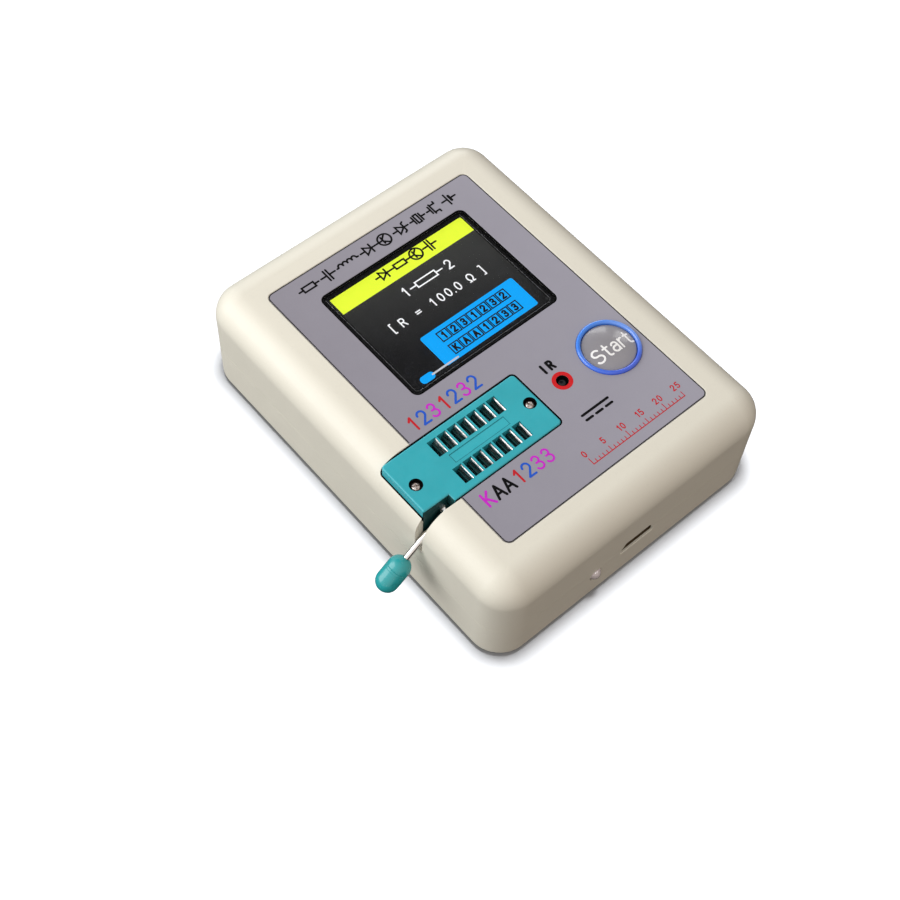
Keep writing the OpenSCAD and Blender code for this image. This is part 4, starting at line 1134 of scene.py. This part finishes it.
def on_outline(e):
    m = (e.verts[0].co + e.verts[1].co) / 2
    if -24.6 < m.x < -6.3 and abs(m.y - SY) < 6.1:
        return False
    return all((Vector((x, SY)) - Vector((m.x, m.y))).length > 1.55 for x in (-31.72, -2.34))


def cover_rim(e):
    a, b = e.verts
    if not on_outline(e) or e.calc_face_angle_signed(0.0) <= 0 or edge_angle(e) < 0.5:
        return False
    top = a.co.z > 26.4 and b.co.z > 26.4
    upright = abs(a.co.x - b.co.x) < 0.01 and abs(a.co.y - b.co.y) < 0.01 and abs(a.co.z - b.co.z) > 2
    return top or upright


def raise_panel(bm):
    for v in bm.verts:
        if abs(v.co.z - 26.2) < 0.02 and abs(v.co.y - SY) < 1.3 and -22.8 < v.co.x < -8.3:
            v.co.z = 26.39


def inset_panel_and_shade_notch(bm):
    floor_of = [f for f in bm.faces if f.normal.z > 0.9 and abs(f.calc_center_median().z - 26.39) < 0.02 and abs(f.calc_center_median().y - SY) < 1.3]
    if floor_of:
        bmesh.ops.inset_region(bm, faces=floor_of, thickness=0.1, depth=0.0)
    # painted shade: the notch's side and end faces take the very dark teal
    for f in bm.faces:
        c = f.calc_center_median()
        if c.x < -28.2 and f.normal.y < -0.55 and c.y < SY - 5 and f.normal.z < 0.35:
            f.material_index = 1
        if abs(c.x + 28.36) < 0.2 and f.normal.x < -0.6 and c.y < SY - 5:
            f.material_index = 1


TEAL = [MAT["teal"], MAT["teal_deep"]]
from_cad("socket_cover", TEAL, merge=0.01, groups=((cover_rim, 0.42, 4),), rest=(0.09, 2), change=raise_panel, after=inset_panel_and_shade_notch)
# painted shade: a dark line round the raised panel, where the engraved edge's shade falls
bm = bmesh.new()
line_shape([(-22.52, SY - 1.07), (-8.58, SY - 1.07), (-8.58, SY + 0.97), (-22.52, SY + 0.97)], 0.13, 26.38, 26.405, bm, True)
piece(bm, "socket_panel_shade_line", "case", MAT["teal_line"], weighted=False)


def base_corner(e):
    a, b = e.verts
    return (on_outline(e) and e.calc_face_angle_signed(0.0) > 0 and edge_angle(e) > 0.5
            and abs(a.co.x - b.co.x) < 0.01 and abs(a.co.y - b.co.y) < 0.01 and abs(a.co.z - b.co.z) > 2)


from_cad("socket_base", [MAT["teal_dark"], MAT["teal_deep"]], merge=0.01, groups=((base_corner, 0.35, 3),), rest=(0.14, 2), after=inset_panel_and_shade_notch)

# dark strip in the gap round the cover: painted shade of the gap
def skin(x):
    """Height of the case's surface at x."""
    a = abs(x)
    return H if a < 29.9 else 20.0 + 6.5 * math.sin(math.acos(max(-1.0, 1 - (36.4 - a) / 6.5)))


cx0, cx1, cy0, cy1 = -34.5 - 0.15, -0.3 + 0.15, SY - 7.35 - 0.15, SY + 7.35 + 0.15
q = 1.05
seal = [(-28.15, cy0), (cx1 - q, cy0)]
seal += [(cx1 - q + x, cy0 + q + y) for x, y in arc(0, 0, q, q, -80, 0, 8)]
seal += [(cx1, cy1 - q)] + [(cx1 - q + x, cy1 - q + y) for x, y in arc(0, 0, q, q, 10, 90, 8)]
seal += [(cx0 + q, cy1)] + [(cx0 + q + x, cy1 - q + y) for x, y in arc(0, 0, q, q, 100, 180, 8)]
seal += [(cx0, -21.8)]
bm = bmesh.new()
line_shape(dense(seal, 0.6), 0.26, 23.6, 26.0, bm)
for v in bm.verts:
    if v.co.z > 25:
        v.co.z = min(26.37, skin(v.co.x - 0.1) - 0.14)
piece(bm, "socket_gap_shade", "case", MAT["gap"], weighted=False)

# leaf contacts: narrow through the slider, wide in the cover, with a lip that leads the pin in
bm = bmesh.new()


def strip(bm, line, t, y0, y1):
    """Sheet of thickness t along a line in XZ."""
    pts = [Vector(p) for p in line]
    left, right = [], []
    for i, p in enumerate(pts):
        d0 = (p - pts[i - 1]).normalized() if i else (pts[1] - p).normalized()
        d1 = (pts[i + 1] - p).normalized() if i < len(pts) - 1 else d0
        m = (Vector((-d0.y, d0.x)) + Vector((-d1.y, d1.x))).normalized()
        k = 1 / max(m.dot(Vector((-d0.y, d0.x))), 0.5)
        left.append(p + m * t / 2 * k)
        right.append(p - m * t / 2 * k)
    rings = [[(l.x, y0, l.y), (r.x, y0, r.y), (r.x, y1, r.y), (l.x, y1, l.y)] for l, r in zip(left, right)]
    loft(bm, rings)


LEAF = [(0.625, 23.2), (0.62, 23.6), (0.60, 24.4), (0.62, 25.2), (0.72, 25.7), (0.86, 25.98), (1.05, 26.17)]
for y in ROWS:
    for x in SLOTS:
        k = 0.05 * math.sin(2.3 * x + 1.7 * y)
        strip(bm, [(x + a + (k if z > 25.5 else 0), z + (k if z > 25.9 else 0)) for a, z in LEAF], 0.14, y - 1.88, y + 1.88)
        box(bm, (x + 0.49, y - 1.08, 13.9), (x + 0.76, y + 1.08, 23.3), 0, 0.04, 1)
        box(bm, (x + 0.49, y - 0.30, 10.42), (x + 0.76, y + 0.30, 13.95), 0, 0.06, 1)
piece(bm, "socket_contacts_shape", "case", MAT["leaf"], ("socket_contacts",), 40)
# guides beside the contacts, low in each slot; their very dark teal is painted shade in the slots
bm = bmesh.new()
for y in ROWS:
    for x in SLOTS:
        box(bm, (x + 0.20, y - 1.93, 24.1), (x + 0.53, y + 1.93, 24.95), 0, 0.05, 1)
        box(bm, (x - 0.95, y - 1.93, 23.3), (x - 0.72, y + 1.93, 24.5), 0, 0.05, 1)
piece(bm, "socket_guides", "case", MAT["teal_deep"])

# ------------------------------------------------------------------ lever

PX, PY, PZ = -29.5, -22.75, 23.0
DROP = math.radians(38.66)
ARM = Vector((-math.cos(DROP), 0, -math.sin(DROP)))
PIV = Vector((PX, PY, PZ))
REACH = 16.65
rb = 0.75
pts = [PIV + ARM * (REACH + 1.45), PIV + ARM * (REACH - 5), PIV + ARM * 6, PIV + ARM * 2, PIV + ARM * (rb + 0.3)]
cen = PIV + ARM * rb + Vector((0, rb, 0))
for i in range(9):
    a = PI / 2 * i / 8
    pts.append(cen - Vector((0, rb, 0)) * math.cos(a) - ARM * rb * math.sin(a))
pts.append(PIV + Vector((0, 1.0, 0)))
rod = bmesh.new()
tube(rod, pts, 0.65, 24)
bmesh.ops.recalc_face_normals(rod, faces=rod.faces)
turn = Matrix.Rotation(-PI / 2, 4, "X")
others = []
for y0, y1 in ((-22.3, -20.4), (-17.6, -11.4)):
    c = bmesh.new()
    k = 0.12
    lathe(c, [(0, y0), (1.0 - k, y0), (1.0, y0 + k), (1.0, y1 - k), (1.0 - k, y1), (0, y1)], 40, at=Matrix.Translation((PX, 0, PZ)) @ turn)
    bmesh.ops.recalc_face_normals(c, faces=c.faces)
    others.append(c)
ce = 1.0 / (2 * math.sin(math.radians(62.5)))
cx, cz = PX + ce * math.sin(math.radians(62.5)), PZ - ce * math.cos(math.radians(62.5))
c = bmesh.new()
lathe(c, [(0, -20.7), (0.42, -20.7), (0.42, -17.3), (0, -17.3)], 28, at=Matrix.Translation((cx, 0, cz)) @ turn)
bmesh.ops.recalc_face_normals(c, faces=c.faces)
others.append(c)
piece(solve(rod, others, "UNION"), "lever_rod_shape", "lever", MAT["rod"], ("lever_rod",), 30, recalc=False)

knob = bmesh.new()
R, S = 2.45, 1.8
bore = 0.672


def groove(z, d, w):
    return [(R, z - w), (R - d * 0.7, z - w * 0.45), (R - d, z), (R - d * 0.7, z + w * 0.45), (R, z + w)]


prof = [(0, 1.52), (bore, 1.52), (bore, -4.02), (bore + 0.12, -4.13)]
a0 = math.asin((bore + 0.2) / R)
prof += [(R * math.sin(a0 + (PI / 2 - a0) * i / 14), -S - R * math.cos(a0 + (PI / 2 - a0) * i / 14)) for i in range(15)]
prof += groove(-1.15, 0.10, 0.10) + groove(-0.62, 0.05, 0.07)
prof += [(R, 0.4), (R, 1.2)]
prof += [(R * math.cos(PI / 2 * i / 16), S + R * math.sin(PI / 2 * i / 16)) for i in range(16)] + [(0, S + R)]
lathe(knob, prof, 72)
bmesh.ops.recalc_face_normals(knob, faces=knob.faces)
KM = Matrix.Translation(PIV + ARM * REACH) @ ARM.to_track_quat("Z", "Y").to_matrix().to_4x4()
knob.transform(KM)
# small round mark of the mould gate, on the side that faces up and to the front
gd = (Vector((0.10, -0.86, 0.62)) - ARM * Vector((0.10, -0.86, 0.62)).dot(ARM)).normalized()
gq = gd.to_track_quat("Z", "Y").to_matrix().to_4x4()
c = bmesh.new()
lathe(c, [(0.36, R - 0.10), (0.50, R - 0.10), (0.50, R + 0.4), (0.36, R + 0.4)], 28, True,
      at=Matrix.Translation(PIV + ARM * (REACH + 1.15)) @ gq)
bmesh.ops.recalc_face_normals(c, faces=c.faces)
piece(solve(knob, [c]), "lever_knob_shape", "lever", MAT["knob"], ("lever_knob",), 30, recalc=False)

# ------------------------------------------------------------------ button

BX, BY = 19.2, -16.45
M = Matrix.Translation((BX, BY, 0))
bm = bmesh.new()
lathe(bm, [(5.8, 23.7), (7.8, 23.7), (7.8, 24.5), (6.75, 24.5)]
      + [(6.275 + 0.475 * math.cos(PI * i / 16), 26.49 + 0.475 * math.sin(PI * i / 16)) for i in range(17)], 144, True, at=M)
piece(bm, "button_ring_shape", "case", MAT["ring"], ("button_ring",), 35)

CAPR = 5.7
DR = (CAPR ** 2 + 0.88 ** 2) / (2 * 0.88)


def dome_z(r):
    return 27.23 - DR + math.sqrt(DR * DR - r * r)


rim = 0.28
rt = CAPR - rim + rim * (CAPR - rim) / DR
zt = dome_z(rt)
ang = math.acos((rt - (CAPR - rim)) / rim)
zc = zt - rim * math.sin(ang)
prof = [(0, 19.6), (3.6, 19.6), (3.6, 22.4), (7.2, 22.4), (7.2, 23.4), (CAPR, 23.4)]
prof += [(CAPR - rim + rim * math.cos(ang * i / 6), zc + rim * math.sin(ang * i / 6)) for i in range(7)]
prof += [(rt * (1 - i / 16), dome_z(rt * (1 - i / 16))) for i in range(1, 17)]
bm = bmesh.new()
lathe(bm, prof, 144, at=M)
bmesh.ops.recalc_face_normals(bm, faces=bm.faces)
c = bmesh.new()
box(c, (BX - 1.95, BY - 1.95, 19.0), (BX + 1.95, BY + 1.95, 21.9))
bmesh.ops.recalc_face_normals(c, faces=c.faces)
piece(solve(bm, [c]), "start_button_shape", "button", MAT["cap"], ("start_button",), 30, recalc=False)

bm = bmesh.new()
for c, x, h in zip("Start", (-3.58, -1.29, 0.76, 2.72, 4.42), (3.5,) * 5):
    sign(bm, c, x, -2.29, h, 0.43, -0.03, 0.012, squeeze=1.0, fine=0.35)
for v in bm.verts:
    z = v.co.z
    v.co.z = dome_z(math.hypot(v.co.x, v.co.y)) + z
    v.co.x += BX
    v.co.y += BY
piece(bm, "print_start", "button", MAT["ink_white"], sharp=20, weighted=False)

# ------------------------------------------------------------------ infrared receiver

bm = bmesh.new()
box(bm, (3.0, -19.25, 19.6), (9.6, -13.65, 22.8), 0, 0.35, 3)
bmesh.ops.recalc_face_normals(bm, faces=bm.faces)
c = bmesh.new()
RL = (2.3 ** 2 + 1.4 ** 2) / 2.8
prof = [(0, 22.5), (2.3, 22.5), (2.3, 22.8)]
prof += [(math.sqrt(max(RL * RL - (z - (24.2 - RL)) ** 2, 0)), z) for z in (23.0, 23.3, 23.6)]
prof += [(1.15, 23.95), (1.15, 25.5)]
RS = (1.15 ** 2 + 0.55 ** 2) / 1.1
prof += [(1.15 * math.cos(PI / 2 * i / 8), 25.5 + 0.55 * math.sin(PI / 2 * i / 8)) for i in range(1, 8)] + [(0, 26.05)]
lathe(c, prof, 64, at=Matrix.Translation((6.3, -16.45, 0)))
bmesh.ops.recalc_face_normals(c, faces=c.faces)
piece(solve(bm, [c], "UNION"), "ir_receiver_shape", "case", MAT["ir"], ("ir_receiver",), 30, recalc=False)

# dark sleeve that lines the sight hole: painted shade inside the hole
bm = bmesh.new()
lathe(bm, [(1.175, 24.55), (1.243, 24.55), (1.243, 26.40), (1.28, 26.455), (1.22, 26.47), (1.175, 26.40)], 64, True,
      at=Matrix.Translation((6.3, -16.45, 0)))
piece(bm, "ir_hole_shade", "case", MAT["gap"])

# ------------------------------------------------------------------ front wall

from_cad("usb_shell", MAT["tin"], rest=(0.09, 2))
LM = Matrix.Translation((-10.5, 0, 8.8)) @ Matrix.Rotation(PI / 2, 4, "X")
bm = bmesh.new()
prof = [(0, 42.6), (1.9, 42.6), (1.9, 43.55), (1.84, 43.6), (1.5, 43.6), (1.5, 46.2)]
prof += [(1.5 * math.cos(PI / 2 * i / 14), 46.2 + 1.5 * math.sin(PI / 2 * i / 14)) for i in range(1, 15)]
prof[-1] = (0, 47.7)
lathe(bm, prof, 56, at=LM)
piece(bm, "charge_led_shape", "case", MAT["led"], ("charge_led",), 30)
bm = bmesh.new()
lathe(bm, [(0, 44.3), (0.55, 44.3), (0.75, 45.3), (0.62, 45.3), (0.42, 44.75), (0, 44.7)], 32, at=LM @ Matrix.Translation((-0.25, 0, 0)))
box(bm, (-9.62, -44.9, 8.6), (-9.3, -43.0, 9.0), 0, 0.03, 1)
box(bm, (-10.72, -44.4, 8.62), (-10.36, -43.0, 8.98), 0, 0.03, 1)
piece(bm, "led_frame", "case", MAT["contact"])

# ------------------------------------------------------------------ floor, light and camera


def area(name, at, target, size, power, color=(1, 1, 1), size_y=None, spread=180):
    d = bpy.data.lights.new(name, "AREA")
    d.energy = power
    d.color = color
    d.size = size
    d.spread = math.radians(spread)
    if size_y:
        d.shape = "RECTANGLE"
        d.size_y = size_y
    o = bpy.data.objects.new(name, d)
    scene.collection.objects.link(o)
    o.location = at
    o.rotation_euler = (Vector(target) - Vector(at)).to_track_quat("-Z", "Y").to_euler()
    return o


fm = bpy.data.meshes.new("floor")
fm.from_pydata([(-3, -3, 0), (3, -3, 0), (3, 3, 0), (-3, 3, 0)], [], [(0, 1, 2, 3)])
floor = bpy.data.objects.new("floor", fm)
scene.collection.objects.link(floor)
m, t, b = clear("floor_paper")
b.inputs["Base Color"].default_value = (0.292, 0.298, 0.310, 1)
b.inputs["Roughness"].default_value = 0.9
b.inputs["Specular IOR Level"].default_value = 0.1
b.inputs["Emission Color"].default_value = (1, 1, 1, 1)
b.inputs["Emission Strength"].default_value = 0.03
fm.materials.append(m)
floor.visible_diffuse = False
floor.visible_glossy = False

world = bpy.data.worlds.new("studio")
scene.world = world
world.use_nodes = True
wt = world.node_tree
bg = wt.nodes["Background"]
wc = wt.nodes.new("ShaderNodeTexCoord").outputs["Generated"]
ws = wt.nodes.new("ShaderNodeSeparateXYZ")
wt.links.new(wc, ws.inputs[0])


def ramp(value, a, b, lo, hi):
    r = wt.nodes.new("ShaderNodeMapRange")
    r.interpolation_type = "SMOOTHSTEP"
    for k, v in (("From Min", a), ("From Max", b), ("To Min", lo), ("To Max", hi)):
        r.inputs[k].default_value = v
    wt.links.new(value, r.inputs["Value"])
    return r.outputs["Result"]


def towards(v):
    d = wt.nodes.new("ShaderNodeVectorMath")
    d.operation = "DOT_PRODUCT"
    wt.links.new(wc, d.inputs[0])
    d.inputs[1].default_value = Vector(v).normalized()
    return d.outputs["Value"]


# a bright tent above, dark below, with a dark flag high up behind the object, which the screen mirrors
sky = ramp(ws.outputs["Z"], -0.08, 0.14, 0.015, 0.66)
flag = ramp(towards((0.29, 0.45, 0.845)), 0.90, 0.985, 1.0, 0.14)
side = ramp(ws.outputs["X"], -1.0, 1.0, 1.44, 0.82)
mul = wt.nodes.new("ShaderNodeMath")
mul.operation = "MULTIPLY"
wt.links.new(sky, mul.inputs[0])
wt.links.new(flag, mul.inputs[1])
mul2 = wt.nodes.new("ShaderNodeMath")
mul2.operation = "MULTIPLY"
wt.links.new(mul.outputs[0], mul2.inputs[0])
wt.links.new(side, mul2.inputs[1])
wt.links.new(mul2.outputs[0], bg.inputs[1])
# the near side of the tent is a little warmer
warm = wt.nodes.new("ShaderNodeMix")
warm.data_type = "RGBA"
warm.inputs[6].default_value = (1, 1, 1, 1)
warm.inputs[7].default_value = (1, 0.86, 0.76, 1)
wt.links.new(ramp(towards((0.35, -1, 0)), -0.1, 0.85, 0.0, 1.0), warm.inputs[0])
wt.links.new(warm.outputs[2], bg.inputs[0])

key = area("key", (-0.30, 0.22, 0.22), (0, 0, 0.02), 0.35, 1.12)
rim = area("rim", (0.30, 0.42, 0.22), (0.02, 0.02, 0.026), 0.25, 0.42)
down = area("overhead", (-0.012, 0.000, 0.62), (-0.012, 0, 0), 0.14, 14.0)
key.visible_camera = rim.visible_camera = down.visible_camera = False
down.visible_glossy = False

# a lamp that gleams on the button alone
gleam = area("gleam", (0.40, 0.16, 0.295), (0.0192, -0.0164, 0.027), 0.12, 0.10)
gleam.visible_camera = False
cap_only = bpy.data.collections.new("button_only")
for n in ("start_button_shape", "button_ring_shape", "print_start"):
    cap_only.objects.link(bpy.data.objects[n])
for c in cap_only.collection_objects:
    c.light_linking.link_state = "INCLUDE"
gleam.light_linking.receiver_collection = cap_only

# two small lamps that glint on the clear dome of the charge light, and light nothing else
spark = [area("spark_1", (-0.05, -0.30, 0.20), (-0.0105, -0.047, 0.009), 0.05, 0.10),
         area("spark_2", (0.10, -0.26, 0.17), (-0.0105, -0.047, 0.009), 0.045, 0.07)]
only = bpy.data.collections.new("charge_led_only")
only.objects.link(bpy.data.objects["charge_led_shape"])
for o in spark:
    o.visible_camera = False
    o.light_linking.receiver_collection = only
only.collection_objects[0].light_linking.link_state = "INCLUDE"

# the overhead lamp lights the floor alone, and the other two leave it out
quiet = bpy.data.collections.new("floor_shadow_off")
for o in (bpy.data.objects["lever_rod_shape"], bpy.data.objects["lever_knob_shape"]):
    quiet.objects.link(o)
for c in quiet.collection_objects:
    c.light_linking.link_state = "EXCLUDE"
down.light_linking.blocker_collection = quiet
for lamps, state in (((key, rim), "EXCLUDE"), ((down,), "INCLUDE")):
    c = bpy.data.collections.new("floor_" + state.lower())
    c.objects.link(floor)
    c.collection_objects[0].light_linking.link_state = state
    for o in lamps:
        o.light_linking.receiver_collection = c

cam_d = bpy.data.cameras.new("camera")
cam_d.sensor_width = 36
cam_d.sensor_fit = "HORIZONTAL"
cam_d.lens = 61.737
cam_d.clip_start = 0.01
cam_d.clip_end = 20
cam = bpy.data.objects.new("camera", cam_d)
scene.collection.objects.link(cam)
X = Vector((0.75682, -0.65234, 0.04091)).normalized()
Z = Vector((-0.36770, -0.37317, 0.85179)).normalized()
Y = Z.cross(X).normalized()
X = Y.cross(Z).normalized()
cam.matrix_world = Matrix((
    (X[0], Y[0], Z[0], -0.13117),
    (X[1], Y[1], Z[1], -0.12569),
    (X[2], Y[2], Z[2], 0.28020),
    (0, 0, 0, 1)))
scene.camera = cam

scene.view_settings.view_transform = "Standard"
scene.view_settings.look = "None"
scene.cycles.use_denoising = True
